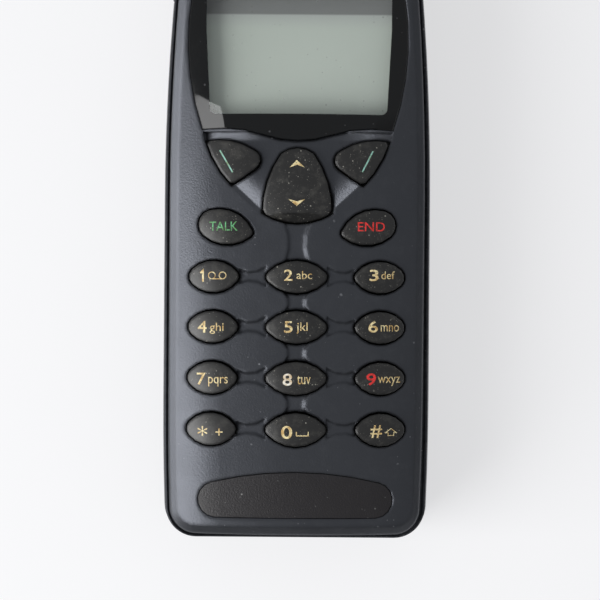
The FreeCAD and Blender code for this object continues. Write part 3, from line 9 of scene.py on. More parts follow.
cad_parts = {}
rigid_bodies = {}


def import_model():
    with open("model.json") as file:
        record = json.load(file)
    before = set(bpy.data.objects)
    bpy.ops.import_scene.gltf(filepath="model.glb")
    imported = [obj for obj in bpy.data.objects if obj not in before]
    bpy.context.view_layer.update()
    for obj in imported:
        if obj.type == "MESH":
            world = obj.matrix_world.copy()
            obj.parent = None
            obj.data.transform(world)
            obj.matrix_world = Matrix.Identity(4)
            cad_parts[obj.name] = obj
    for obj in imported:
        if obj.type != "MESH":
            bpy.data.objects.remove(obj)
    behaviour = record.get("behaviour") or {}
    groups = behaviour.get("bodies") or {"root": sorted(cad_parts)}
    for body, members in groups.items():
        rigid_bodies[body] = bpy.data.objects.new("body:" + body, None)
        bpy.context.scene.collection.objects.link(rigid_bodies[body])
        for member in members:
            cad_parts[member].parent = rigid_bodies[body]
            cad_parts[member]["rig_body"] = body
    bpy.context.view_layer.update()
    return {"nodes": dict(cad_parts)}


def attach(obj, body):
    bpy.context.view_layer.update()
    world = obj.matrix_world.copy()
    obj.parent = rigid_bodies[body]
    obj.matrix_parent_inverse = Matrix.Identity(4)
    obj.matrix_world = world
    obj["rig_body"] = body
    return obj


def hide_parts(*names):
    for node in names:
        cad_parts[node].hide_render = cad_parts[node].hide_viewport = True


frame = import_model()
nodes = frame["nodes"]
MM = 0.001

# Camera: place in mm, angle of view in degrees, turn about its own axis in radians
camera_place = (0.6, -32.65, 318.5)
camera_view_angle = 19.9
camera_roll = 0.0076
camera_sensor = 36.0
camera_data = bpy.data.cameras.new("camera")
camera_data.sensor_width = camera_sensor
camera_data.lens = camera_sensor / 2 / math.tan(math.radians(camera_view_angle / 2))
camera_data.clip_start = 0.01
camera_data.clip_end = 20.0
camera = bpy.data.objects.new("camera", camera_data)
camera.location = Vector(camera_place) * MM
camera.rotation_euler = (0.0, 0.0, camera_roll)
bpy.context.scene.collection.objects.link(camera)
bpy.context.scene.camera = camera


# Material parts
class Tree:
    """The node tree of a material or a world, with short calls for its nodes."""

    def __init__(self, name, kind="materials"):
        self.owner = getattr(bpy.data, kind).new(name)
        self.owner.use_nodes = True
        self.tree = self.owner.node_tree
        self.tree.nodes.clear()
        place_output = "Object" if kind == "materials" else "Generated"
        self.place = self.node("ShaderNodeTexCoord").outputs[place_output]

    def node(self, kind, **settings):
        made = self.tree.nodes.new(kind)
        for key, value in settings.items():
            setattr(made, key, value)
        return made

    def put(self, socket, value):
        if hasattr(value, "links"):
            self.tree.links.new(value, socket)
        else:
            socket.default_value = value

    def math(self, operation, *values, clamp=False):
        made = self.node("ShaderNodeMath", operation=operation, use_clamp=clamp)
        for i, value in enumerate(values):
            self.put(made.inputs[i], value)
        return made.outputs[0]

    def product(self, *values):
        total = values[0]
        for value in values[1:]:
            total = self.math("MULTIPLY", total, value)
        return total

    def vector(self, operation, *values):
        made = self.node("ShaderNodeVectorMath", operation=operation)
        for i, value in enumerate(values):
            self.put(made.inputs[i], value)
        return made.outputs["Value" if operation == "DOT_PRODUCT" else "Vector"]

    def split(self, vector):
        """The X, Y and Z parts of a vector."""
        made = self.node("ShaderNodeSeparateXYZ")
        self.put(made.inputs[0], vector)
        return list(made.outputs)

    def axes(self, unit=MM):
        """The place along X, Y and Z, in mm of the part's frame unless unit says otherwise."""
        return [self.math("DIVIDE", part, unit) for part in self.split(self.place)]

    def geometry(self, output):
        return self.node("ShaderNodeNewGeometry").outputs[output]

    def ramp(self, value, low, high, from_value=0.0, to_value=1.0):
        """Turns a value's range from low to high into another range, and stops at its ends."""
        made = self.node("ShaderNodeMapRange", clamp=True)
        for i, v in enumerate((value, low, high, from_value, to_value)):
            self.put(made.inputs[i], v)
        return made.outputs[0]

    def mix(self, share, a, b):
        """Mixes two colours, each an sRGB triple or a socket."""
        made = self.node("ShaderNodeMix", data_type="RGBA", clamp_factor=True)
        self.put(made.inputs["Factor"], share)
        self.put(made.inputs["A"], colour(a) if isinstance(a, tuple) else a)
        self.put(made.inputs["B"], colour(b) if isinstance(b, tuple) else b)
        return made.outputs["Result"]

    def noise(self, size, detail=2.0, rough=0.5, place=None, bend=0.0):
        """Noise whose features are about size mm across."""
        made = self.node("ShaderNodeTexNoise")
        self.put(made.inputs["Vector"], place or self.place)
        made.inputs["Scale"].default_value = 1.0 / (size * MM)
        made.inputs["Detail"].default_value = detail
        made.inputs["Roughness"].default_value = rough
        made.inputs["Distortion"].default_value = bend
        return made.outputs["Fac"]

    def specks(self, size, share, smallest=0.05, spread=0.22, fade=0.6):
        """Round specks in cells of size mm, in a share of the cells, with radii as shares of a cell."""
        made = self.node("ShaderNodeTexVoronoi", feature="F1")
        self.put(made.inputs["Vector"], self.place)
        made.inputs["Scale"].default_value = 1.0 / (size * MM)
        made.inputs["Randomness"].default_value = 1.0
        cell = self.node("ShaderNodeSeparateColor")
        self.put(cell.inputs[0], made.outputs["Color"])
        chosen = self.math("LESS_THAN", cell.outputs[0], share)
        radius = self.math("MULTIPLY_ADD", cell.outputs[1], spread, smallest)
        dot = self.ramp(self.math("DIVIDE", made.outputs["Distance"], radius), fade, 1.0, 1.0, 0.0)
        return self.math("MULTIPLY", chosen, dot)

    def scratches(self, angle, length, width, share):
        """Fine streaks in patches, at an angle in degrees and with sizes in mm, as a mask."""
        turned = self.node("ShaderNodeMapping")
        self.put(turned.inputs["Vector"], self.place)
        turned.inputs["Rotation"].default_value = (0.0, 0.0, math.radians(angle))
        turned.inputs["Scale"].default_value = (width / length, 1.0, width / length)
        streaks = self.noise(width, detail=1.0, rough=0.4, place=turned.outputs[0], bend=0.6)
        streak = self.ramp(streaks, 1.0 - share, 1.0 - share * 0.6)
        patch = self.ramp(self.noise(length * 0.8), 0.50, 0.62)
        return self.math("MULTIPLY", streak, patch)

    def rounded(self, over_x, over_y):
        """The distance past a box with rounded corners, from the distances past its flat sides."""
        far_x = self.math("MAXIMUM", over_x, 0.0)
        far_y = self.math("MAXIMUM", over_y, 0.0)
        return self.math("SQRT", self.math("ADD", self.product(far_x, far_x), self.product(far_y, far_y)))

    def bevel(self, radius):
        """The normal with corners softened to a radius in metres."""
        made = self.node("ShaderNodeBevel", samples=6)
        self.put(made.inputs["Radius"], radius)
        return made.outputs[0]

    def lean(self, normal, amounts):
        """Leans a normal by amounts along X, Y and Z of the part's frame, which softens a form's shoulder."""
        way = self.node("ShaderNodeCombineXYZ")
        for i, amount in enumerate(amounts):
            self.put(way.inputs[i], amount)
        turned = self.node("ShaderNodeVectorTransform", vector_type="VECTOR")
        turned.convert_from = "OBJECT"
        turned.convert_to = "WORLD"
        self.put(turned.inputs[0], way.outputs[0])
        return self.vector("NORMALIZE", self.vector("ADD", normal, turned.outputs[0]))

    def shader(self, kind="ShaderNodeBsdfPrincipled", **inputs):
        """A shader whose sockets are named with _ for a space; a triple is an sRGB colour."""
        made = self.node(kind)
        for key, value in inputs.items():
            is_colour = isinstance(value, tuple) and len(value) == 3
            self.put(made.inputs[key.replace("_", " ")], colour(value) if is_colour else value)
        return made.outputs[0]

    def mix_shaders(self, share, a, b):
        made = self.node("ShaderNodeMixShader")
        for i, value in enumerate((share, a, b)):
            self.put(made.inputs[i], value)
        return made.outputs[0]

    def finish(self, surface, kind="Material"):
        out = self.node("ShaderNodeOutput" + kind)
        self.put(out.inputs["Surface"], surface)
        return self.owner


def linear(value):
    value /= 255.0
    return value / 12.92 if value <= 0.04045 else ((value + 0.055) / 1.055) ** 2.4


def colour(rgb):
    """An sRGB triple of 0 to 255 as a linear colour."""
    return (linear(rgb[0]), linear(rgb[1]), linear(rgb[2]), 1.0)


# What every moulded or metal surface shares, with sizes in mm. Colour and roughness drift slowly, and the
# grain darkens its pits.
drift_size = 9.0
rough_drift = 0.16
lighter_gain = 1.5
lighter_lift = 6
pit_gain = 0.6
pit_range = (0.35, 0.75)
# Fine scratches: angle in degrees, length, width and share of the surface, then what they add
scratch_runs = ((12, 22, 0.10, 0.30), (68, 15, 0.09, 0.28), (-40, 18, 0.08, 0.28))
scratch_tint = (128, 128, 130)
scratch_cover = 0.5
scratch_rough = 0.1
# Dust: a patchy haze, and small and large specks that are faint in places
haze_size = 2.2
haze_range = (0.50, 0.80)
small_speck_share = 0.34
large_speck_share = 0.26
large_speck_scale = 2.3
faint_size = 1.4
faint_range = (0.40, 0.62)
dust_rough = 0.3
# Tinted edges, lighter where worn and near black as painted shade on the keys: how far the softened normal
# has turned, as a cosine, and the patches that are tinted
edge_turn = (0.99, 0.90)
edge_patch_size = 1.5
edge_patch_range = (0.35, 0.65)
edge_cover_share = 0.6


def surface(
    name,
    base,
    rough,
    metallic=0.0,
    grain=0.25,
    grain_depth=0.006,
    mottle=0.25,
    dust=0.0,
    dust_tint=(150, 150, 148),
    film=0.35,
    speck_size=0.5,
    scratch=0.0,
    edge_colour_wear_and_shade=None,
    edge_patchiness=1.0,
    edge=0.35,
    shine=0.5,
    gloss_tint=(255, 255, 255),
    edge_at=None,
    lean_at=None,
):
    """A moulded or metal surface: colour drift, grain, dust, fine scratches, tinted edges, softened corners;
    the edge tint is wear where it is lighter and painted shade where it is near black.

    Colours are sRGB triples, and grain, specks and edge radius are in mm. Where one edge radius or normal
    doesn't fit the whole piece, edge_at gives the radius and lean_at the lean of the normal by place.
    """
    t = Tree(name)
    soft = t.bevel(edge_at(t) if edge_at else edge * MM)
    normal = t.lean(soft, lean_at(t, soft)) if lean_at else soft
    drift = t.noise(drift_size, detail=4.0, rough=0.6)
    fine = t.noise(grain, rough=0.6)
    lighter = tuple(min(255, v * lighter_gain + lighter_lift) for v in base)
    darker = tuple(v * pit_gain for v in base)
    tint = t.mix(t.math("MULTIPLY", drift, mottle), base, lighter)
    tint = t.mix(t.ramp(fine, *pit_range, 0.0, mottle / 2), tint, darker)
    roughness = t.math("MULTIPLY_ADD", drift, rough_drift, rough - rough_drift / 2)
    height = fine
    if scratch:
        marks = 0.0
        for angle, length, width, share in scratch_runs:
            marks = t.math("MAXIMUM", marks, t.scratches(angle, length, width, share * scratch))
        tint = t.mix(t.math("MULTIPLY", marks, scratch_cover), tint, scratch_tint)
        roughness = t.math("ADD", roughness, t.math("MULTIPLY", marks, scratch_rough))
        height = t.math("SUBTRACT", height, marks)
    if dust:
        haze = t.ramp(t.noise(haze_size, detail=5.0, rough=0.75), *haze_range, 0.0, film * dust)
        small = t.specks(speck_size, small_speck_share * dust)
        large = t.specks(speck_size * large_speck_scale, large_speck_share * dust)
        faint = t.ramp(t.noise(faint_size), *faint_range)
        laid = t.math("MAXIMUM", haze, t.math("MULTIPLY", t.math("MAXIMUM", small, large), faint))
        tint = t.mix(laid, tint, dust_tint)
        roughness = t.math("ADD", roughness, t.math("MULTIPLY", laid, dust_rough), clamp=True)
    # Edge tint: lighter rubbed wear on most finishes, near black painted shade on the keys
    if edge_colour_wear_and_shade:
        flat = t.vector("DOT_PRODUCT", soft, t.geometry("Normal"))
        edge_patches = t.ramp(t.noise(edge_patch_size, detail=4.0, rough=0.7), *edge_patch_range, 1.0 - edge_patchiness)
        tinted_edge = t.math("MULTIPLY", t.ramp(flat, *edge_turn), edge_patches)
        tint = t.mix(t.math("MULTIPLY", tinted_edge, edge_cover_share), tint, edge_colour_wear_and_shade)
    bump = t.node("ShaderNodeBump")
    bump.inputs["Distance"].default_value = grain_depth * MM
    t.put(bump.inputs["Height"], height)
    t.put(bump.inputs["Normal"], normal)
    return t.finish(
        t.shader(
            Base_Color=tint,
            Roughness=roughness,
            Metallic=metallic,
            Specular_IOR_Level=shine,
            Specular_Tint=gloss_tint,
            Normal=bump.outputs[0],
        )
    )


# Flat top of the front shell in mm: a box with rounded corners, whose sides draw in above the display
top_middle_y = -8.5
top_corner_x = 14.0
top_corner_y = 56.5
top_corner_radii = (4.9, 5.6)
draw_start_y = 20.0
draw_rate = 0.00525


def shell_rim(t):
    """How much a place lies on the front shell's outer shoulder, 0 to 1."""
    x, y = t.axes()[:2]
    head = t.math("MAXIMUM", t.math("SUBTRACT", y, draw_start_y), 0.0)
    half = t.math("ADD", t.math("ABSOLUTE", x), t.product(head, head, draw_rate))
    over_x = t.math("SUBTRACT", half, top_corner_x)
    over_y = t.math("SUBTRACT", t.math("ABSOLUTE", t.math("SUBTRACT", y, top_middle_y)), top_corner_y)
    return t.ramp(t.rounded(over_x, over_y), *top_corner_radii)


# Edge radius of the front shell in mm, round its key holes and along its outline
hole_edge = 0.7
outline_edge = 1.1


def shell_edge(t):
    return t.ramp(shell_rim(t), 0.0, 1.0, hole_edge * MM, outline_edge * MM)


# Slope beside the scroll key: a point and the direction of its upper edge, then where it fades in and out,
# across that edge, along Y and along X, in mm
slope_point = (11.2, -12.7)
slope_across = (0.678, 0.734)
slope_fades_in = (-0.1, 0.25)
slope_fades_out = (4.5, 1.0)
slope_low = (-18.0, -17.3)
slope_far = (11.5, 10.8)
# Strip under the window, in mm
strip_high = (-3.2, -3.6)
strip_low = (-5.8, -5.2)
strip_far = (16.1, 15.5)
strip_near = (4.0, 12.0)
slope_lean = (-0.40, -0.17)
# Outer shoulder: the normal's Z at which it fades, on its flat side and on its steep side, and its lean
# along Y and Z
shoulder_flat = (0.92, 0.80)
shoulder_steep = (0.20, 0.50)
shoulder_lean = (-0.25, 0.68)


def shell_lean(t, normal):
    """Leans on the front shell: slopes beside the scroll key and under the window, and a soft shoulder."""
    x, y = t.axes()[:2]
    half = t.math("ABSOLUTE", x)
    outward = t.product(t.math("SUBTRACT", half, slope_point[0]), slope_across[0])
    inward = t.math("SUBTRACT", t.product(t.math("SUBTRACT", y, slope_point[1]), slope_across[1]), outward)
    beside = t.product(
        t.ramp(inward, *slope_fades_in),
        t.ramp(inward, *slope_fades_out),
        t.ramp(y, *slope_low),
        t.ramp(half, *slope_far),
    )
    under = t.product(
        t.ramp(y, *strip_high),
        t.ramp(y, *strip_low),
        t.ramp(half, *strip_far),
        t.ramp(half, *strip_near),
    )
    slope = t.math("MAXIMUM", beside, under)
    rise = t.split(normal)[2]
    shoulder = t.product(shell_rim(t), t.ramp(rise, *shoulder_flat), t.ramp(rise, *shoulder_steep))
    along_y = t.math("MULTIPLY_ADD", slope, slope_lean[1], t.product(shoulder, shoulder_lean[0]))
    return t.product(slope, slope_lean[0]), along_y, t.product(shoulder, shoulder_lean[1])


# Lip round the rear shell's rim: where it starts, along Z and from the middle, in mm, the normal's Z at
# which its flat top and its flank start, and how far they lean
lip_height = (15.8, 17.6)
lip_half = (21.4, 21.9)
lip_top = (0.3, 0.8)
lip_flank = (0.6, 0.2)
lip_top_lean = 0.5
lip_flank_lean = 1.2


def rim_lean(t, normal):
    """Leans on the rear shell: the lip of its rim rolls over, outwards on top and upwards at the flank."""
    x, y, z = t.axes()
    rise = t.split(normal)[2]
    lip = t.product(t.ramp(z, *lip_height), t.ramp(t.math("ABSOLUTE", x), *lip_half))
    outward = t.product(lip, t.ramp(rise, *lip_top), t.math("SIGN", x), lip_top_lean)
    return outward, 0.0, t.product(lip, t.ramp(rise, *lip_flank), lip_flank_lean)


# Finishes
shell_gloss_tint = (237, 242, 255)
black_shell = surface(
    "black_shell", (27, 28, 30), 0.36, grain=0.32, grain_depth=0.036, mottle=0.12, dust=0.16,
    speck_size=0.55, dust_tint=(120, 121, 124), scratch=0.35, shine=1.0, gloss_tint=shell_gloss_tint,
    edge_at=shell_edge, lean_at=shell_lean
)
black_back = surface(
    "black_back", (27, 28, 31), 0.45, grain=0.30, grain_depth=0.02, mottle=0.15, dust=0.15, speck_size=0.6,
    scratch=0.35, edge_colour_wear_and_shade=(88, 89, 92), gloss_tint=shell_gloss_tint, lean_at=rim_lean
)
# Keys: the near black edge tint is painted shade, which draws the dark gap round each key wider
key_rubber = surface(
    "key_rubber", (20, 19, 18), 0.34, grain=0.12, grain_depth=0.012, mottle=0.2, dust=1.6, film=0.09,
    speck_size=0.24, dust_tint=(165, 162, 152), edge=0.7, edge_colour_wear_and_shade=(4, 4, 4), edge_patchiness=0.2, shine=0.7
)
mat_rubber = surface("mat_rubber", (18, 18, 19), 0.6, dust=0.4)
side_rubber = surface("side_rubber", (27, 27, 29), 0.5, dust=0.5, edge_colour_wear_and_shade=(60, 60, 60))
badge = surface(
    "badge", (28, 25, 27), 0.40, grain=0.28, grain_depth=0.07, mottle=0.3, dust=0.25, film=0.05,
    speck_size=0.5, edge=0.2
)
aerial_plastic = surface("aerial_plastic", (26, 26, 28), 0.42, dust=0.3, scratch=0.4, edge_colour_wear_and_shade=(70, 70, 72))
dark_plastic = surface("dark_plastic", (30, 30, 31), 0.5, dust=0.2, edge_colour_wear_and_shade=(60, 60, 62))
white_plastic = surface("white_plastic", (214, 214, 208), 0.45, mottle=0.1)
soft_rubber = surface("soft_rubber", (34, 34, 35), 0.7, dust=0.3)
gold = surface(
    "gold", (214, 176, 104), 0.25, metallic=1.0, mottle=0.2, grain_depth=0.002, edge=0.1, scratch=0.3
)
brass = surface("brass", (196, 166, 106), 0.3, metallic=1.0, mottle=0.3, grain_depth=0.002, edge=0.15)
steel = surface(
    "steel", (176, 178, 180), 0.28, metallic=1.0, mottle=0.2, grain_depth=0.003, edge=0.1, scratch=0.4
)
screw_steel = surface(
    "screw_steel", (84, 85, 88), 0.34, metallic=1.0, grain_depth=0.003, edge=0.1, scratch=0.4
)
tin_shield = surface(
    "tin_shield", (190, 190, 186), 0.34, metallic=1.0, mottle=0.3, grain_depth=0.004, scratch=0.6
)
capsule = surface("capsule", (152, 154, 156), 0.35, metallic=1.0, grain_depth=0.003, scratch=0.3)
card_plastic = surface("card_plastic", (222, 222, 216), 0.4, mottle=0.1, scratch=0.2)
cell_wrap = surface("cell_wrap", (72, 104, 92), 0.35, mottle=0.2, scratch=0.3)
board_green = surface("board_green", (32, 74, 50), 0.4, grain=0.6, mottle=0.5, grain_depth=0.01)
guide_acrylic = surface("guide_acrylic", (206, 214, 204), 0.2, mottle=0.05, grain_depth=0.001)

# Clear area of the window in mm: middle, half sizes, corner radius, the blur of its edge, and how far its
# sides spread upwards and up to where
clear_middle = (0.12, 9.6)
clear_half = (15.15, 10.6)
clear_corner = 1.1
clear_blur = 0.04
clear_spread = 0.75
clear_spread_end = 4.0
# Lower corners of the window, where its edge rolls over, in mm, and their lean along X and Y
rolled_x = (12.0, 13.4)
rolled_y = (2.6, -3.4)
rolled_lean = (0.38, -0.18)
pane_edge = 0.35
pane_index = 1.49
# Smears and dust on the window, with sizes in mm
smear_size = 7.0
smear_range = (0.45, 0.8)
smear_rough = 0.10
window_speck_size = 0.8
window_speck_share = 0.10
window_scratches = ((30, 16, 0.07, 0.2), (-62, 12, 0.06, 0.2))


def window_material():
    """A glossy pane with a black printed border round a clear area."""
    t = Tree("window_pane")
    place_x, place_y = t.axes()[:2]
    x = t.math("ABSOLUTE", t.math("SUBTRACT", place_x, clear_middle[0]))
    y = t.math("SUBTRACT", place_y, clear_middle[1])
    spread = t.math("MULTIPLY", t.ramp(y, -clear_half[1], clear_spread_end), clear_spread)
    over_x = t.math("SUBTRACT", x, t.math("ADD", spread, clear_half[0] - clear_corner))
    over_y = t.math("SUBTRACT", t.math("ABSOLUTE", y), clear_half[1] - clear_corner)
    border = t.ramp(t.rounded(over_x, over_y), clear_corner - clear_blur, clear_corner + clear_blur)

    smear = t.ramp(t.noise(smear_size, detail=5.0, rough=0.7), *smear_range, 0.0, smear_rough)
    dots = t.math("MULTIPLY", t.specks(window_speck_size, window_speck_share), 0.5)
    marks = t.math("MAXIMUM", *(t.scratches(*run) for run in window_scratches))
    laid = t.math("MAXIMUM", dots, t.math("MULTIPLY", marks, 0.3))

    rolled = t.product(t.ramp(x, *rolled_x), t.ramp(place_y, *rolled_y))
    roll_x = t.product(rolled, t.math("SIGN", place_x), rolled_lean[0])
    normal = t.lean(t.bevel(pane_edge * MM), (roll_x, t.product(rolled, rolled_lean[1]), 0.0))
    print_black = t.shader(
        Base_Color=t.mix(laid, (7, 8, 9), (96, 96, 98)),
        Roughness=t.math("ADD", smear, 0.07),
        Specular_IOR_Level=0.4,
        Normal=normal,
    )

    sheer = t.shader("ShaderNodeBsdfTransparent", Color=(0.985, 0.99, 0.985, 1.0))
    gloss = t.shader(
        "ShaderNodeBsdfGlossy",
        Color=(0.85, 0.85, 0.85, 1.0),
        Roughness=t.math("ADD", smear, 0.04),
        Normal=normal,
    )
    fresnel = t.node("ShaderNodeFresnel")
    fresnel.inputs["IOR"].default_value = pane_index
    outside = t.math("SUBTRACT", 1.0, t.geometry("Backfacing"))
    clear = t.mix_shaders(t.product(fresnel.outputs[0], outside), sheer, gloss)
    film = t.shader("ShaderNodeBsdfDiffuse", Color=(190, 190, 186))
    dusty = t.mix_shaders(t.math("MULTIPLY", laid, 0.5), clear, film)
    return t.finish(t.mix_shaders(border, dusty, print_black))


# Display: pitch of its dots and the gap between them, and where a painted shadow greys the field towards its
# upper seal, in mm
dot_pitch = 0.36
dot_gap = 0.05
field_shadow_range = (14.2, 16.5)
seal_starts = (16.45, 16.75)
field_tints = ((199, 207, 199), (192, 200, 192))
dot_tint = (162, 170, 162)
painted_shadow_tint = (174, 176, 178)
seal_tint = (131, 133, 133)


def lcd_material():
    """The reflective display: a pale grey-green field with a fine dot grid, a painted shadow greying it
    towards the top, and a darker seal above it.
    """
    t = Tree("lcd_field")
    x, y = t.axes()[:2]
    lines = []
    for axis in (x, y):
        share = t.math("FRACT", t.math("DIVIDE", axis, dot_pitch))
        lines.append(t.math("LESS_THAN", share, dot_gap / dot_pitch))
    grid = t.math("MAXIMUM", *lines)
    field = t.mix(t.math("MULTIPLY", t.noise(14.0), 0.25), *field_tints)
    field = t.mix(t.math("MULTIPLY", grid, 0.05), field, dot_tint)
    # Painted shadow: the field greys towards the window's upper border
    field = t.mix(t.ramp(y, *field_shadow_range, 0.0, 0.5), field, painted_shadow_tint)
    tint = t.mix(t.ramp(y, *seal_starts), field, seal_tint)
    return t.finish(t.shader(Base_Color=tint, Roughness=0.35))


def tinted_glass():
    """Dark red glass, clear to infra-red light only."""
    t = Tree("infra_glass")
    streak = t.noise(3.0, detail=3.0)
    return t.finish(
        t.shader(
            Base_Color=t.mix(streak, (26, 8, 12), (40, 12, 18)),
            Roughness=t.math("MULTIPLY_ADD", streak, 0.05, 0.05),
            Coat_Weight=0.5,
        )
    )


finishes = {
    black_shell: ["front_cover"],
    black_back: ["rear_cover", "battery_case", "battery_lid"],
    window_material(): ["display_window"],
    badge: ["badge_plate"],
    key_rubber: [name for name in nodes if name.startswith("key_")],
    side_rubber: ["volume_key", "power_key", "battery_latch"],
    mat_rubber: ["keypad_mat"],
    aerial_plastic: ["antenna"],
    dark_plastic: ["bottom_connector", "edge_switches", "buzzer"],
    white_plastic: ["lcd_frame"],
    soft_rubber: ["earpiece_gasket", "microphone_boot", "lcd_connector"],
    gold: ["battery_contacts", "battery_terminals", "connector_contacts", "sim_contacts", "buzzer_contacts",
           "antenna_contact"],
    brass: ["antenna_bushing"],
    steel: ["dome_sheet", "cell_straps", "sim_holder"],
    screw_steel: ["case_screws"],
    tin_shield: ["shield_cans"],
    capsule: ["earpiece", "microphone"],
    card_plastic: ["sim_card"],
    cell_wrap: ["battery_cells"],
    board_green: ["main_board", "battery_circuit"],
    guide_acrylic: ["light_guide"],
    lcd_material(): ["lcd_glass"],
    tinted_glass(): ["ir_window"],
}
dressed = set()
for finish, names in finishes.items():
    for name in names:
        nodes[name].data.materials.clear()
        nodes[name].data.materials.append(finish)
        dressed.add(name)
undressed = sorted(set(nodes) - dressed)
if undressed:
    raise RuntimeError("nodes without a finish: " + ", ".join(undressed))


# Bottom connector, its front face held behind the tapered wall
connector_setback = 0.75
connector_mesh = nodes["bottom_connector"].data.copy()
connector_limit = min(v.co.y for v in nodes["rear_cover"].data.vertices) + connector_setback * MM
for vertex in connector_mesh.vertices:
    vertex.co.y = max(vertex.co.y, connector_limit)
connector = bpy.data.objects.new("connector_block", connector_mesh)
bpy.context.scene.collection.objects.link(connector)
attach(connector, nodes["bottom_connector"]["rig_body"])
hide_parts("bottom_connector")


# Printed legends, worn to a deeper tone and chipped down to the key, with sizes in mm
tone_size = 0.9
tone_range = (0.4, 0.62)
tone_gain = (0.84, 0.74, 0.60)
chip_size = 0.35
chip_range = (0.62, 0.74)
chip_wear = (0.14, 0.10)
chip_cover = 0.8
chip_tint = (46, 44, 40)


def print_material(name, tint, wear=0.5):
    """Ink of one legend colour, more or less worn."""
    t = Tree(name)
    deep = tuple(v * gain for v, gain in zip(tint, tone_gain))
    shade = t.mix(t.ramp(t.noise(tone_size, detail=3.0), *tone_range), tint, deep)
    flakes = t.noise(chip_size, detail=4.0, rough=0.8)
    chips = t.ramp(flakes, chip_range[0] - chip_wear[0] * wear, chip_range[1] - chip_wear[1] * wear)
    shade = t.mix(t.math("MULTIPLY", chips, chip_cover), shade, chip_tint)
    return t.finish(t.shader(Base_Color=shade, Roughness=t.math("MULTIPLY_ADD", chips, 0.2, 0.45)))


cream = print_material("legend_cream", (255, 238, 184), wear=0.8)
pale = print_material("legend_pale", (252, 250, 240), wear=0.3)
green = print_material("legend_green", (122, 215, 152), wear=1.0)
red = print_material("legend_red", (250, 60, 58), wear=0.8)
teal = print_material("legend_teal", (158, 214, 200))

# The photograph's frame: the pixel at X = 0 and at the camera's Y, and a pixel's size in mm on the front
frame_middle = (296.3, 300.0)
pixel_size = 0.1718


def photo_point(u, v):
    """A point of the 600 by 600 frame, on the level of the front, in mm of the part's frame."""
    du = u - frame_middle[0]
    dv = v - frame_middle[1]
    return (du + camera_roll * dv) * pixel_size, -(dv - camera_roll * du) * pixel_size + camera_place[1]


def surface_of(node):
    """A node's mesh as a tree that rays can be cast on."""
    mesh = nodes[node].data
    points = [v.co.copy() for v in mesh.vertices]
    return BVHTree.FromPolygons(points, [tuple(p.vertices) for p in mesh.polygons])


# Prints in mm: the length of their facets, how far they stand proud, their thickness, and a height over all
print_step = 0.25
print_height = 0.02
print_depth = 0.06
over_all = 60.0


def lay_print(name, shape, node, finish):
    """Lays a flat shape, a bmesh in mm seen from above, on a node as a thin print that rides with it."""
    low = [min(v.co[i] for v in shape.verts) for i in (0, 1)]
    high = [max(v.co[i] for v in shape.verts) for i in (0, 1)]
    for axis in (0, 1):
        for k in range(1, int((high[axis] - low[axis]) / print_step) + 1):
            point = [0.0, 0.0, 0.0]
            normal = [0.0, 0.0, 0.0]
            point[axis] = low[axis] + k * print_step
            normal[axis] = 1.0
            parts = shape.verts[:] + shape.edges[:] + shape.faces[:]
            bmesh.ops.bisect_plane(shape, geom=parts, plane_co=point, plane_no=normal, dist=1e-5)
    bmesh.ops.remove_doubles(shape, verts=shape.verts[:], dist=1e-4)
    under = surface_of(node)
    for v in shape.verts:
        hit = under.ray_cast(Vector((v.co.x, v.co.y, over_all)) * MM, Vector((0.0, 0.0, -1.0)))[0]
        if hit is None:
            raise RuntimeError(name + " reaches past " + node)
        v.co.z = hit.z / MM + print_height
    bmesh.ops.recalc_face_normals(shape, faces=shape.faces[:])
    if shape.faces and sum(f.normal.z for f in shape.faces) < 0:
        bmesh.ops.reverse_faces(shape, faces=shape.faces[:])
    grown = bmesh.ops.extrude_face_region(shape, geom=shape.faces[:], use_keep_orig=True)
    for v in (g for g in grown["geom"] if isinstance(g, bmesh.types.BMVert)):
        v.co.z -= print_depth
    bmesh.ops.recalc_face_normals(shape, faces=shape.faces[:])
    bmesh.ops.scale(shape, vec=(MM, MM, MM), verts=shape.verts[:])
    mesh = bpy.data.meshes.new(name)
    shape.to_mesh(mesh)
    shape.free()
    mesh.materials.append(finish)
    piece = bpy.data.objects.new(name, mesh)
    bpy.context.scene.collection.objects.link(piece)
    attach(piece, nodes[node]["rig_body"])


def flat_text(text):
    """The glyphs of a word as a flat bmesh."""
    curve = bpy.data.curves.new("glyphs", "FONT")
    curve.body = text
    curve.resolution_u = 5
    holder = bpy.data.objects.new("glyphs", curve)
    bpy.context.scene.collection.objects.link(holder)
    bpy.context.view_layer.update()
    mesh = bpy.data.meshes.new_from_object(holder.evaluated_get(bpy.context.evaluated_depsgraph_get()))
    shape = bmesh.new()
    shape.from_mesh(mesh)
    bpy.data.objects.remove(holder)
    bpy.data.meshes.remove(mesh)
    bpy.data.curves.remove(curve)
    bmesh.ops.remove_doubles(shape, verts=shape.verts[:], dist=1e-5)
    return shape


def fit_frame(shape, spot):
    """Fits a shape's outline to a box of the photograph's frame: left, right, top and bottom in pixels."""
    left, right, top, bottom = spot
    low = [min(v.co[i] for v in shape.verts) for i in (0, 1)]
    high = [max(v.co[i] for v in shape.verts) for i in (0, 1)]
    for v in shape.verts:
        across = (v.co.x - low[0]) / (high[0] - low[0])
        up = (v.co.y - low[1]) / (high[1] - low[1])
        v.co.x, v.co.y = photo_point(left + across * (right - left), bottom + up * (top - bottom))
        v.co.z = 0.0


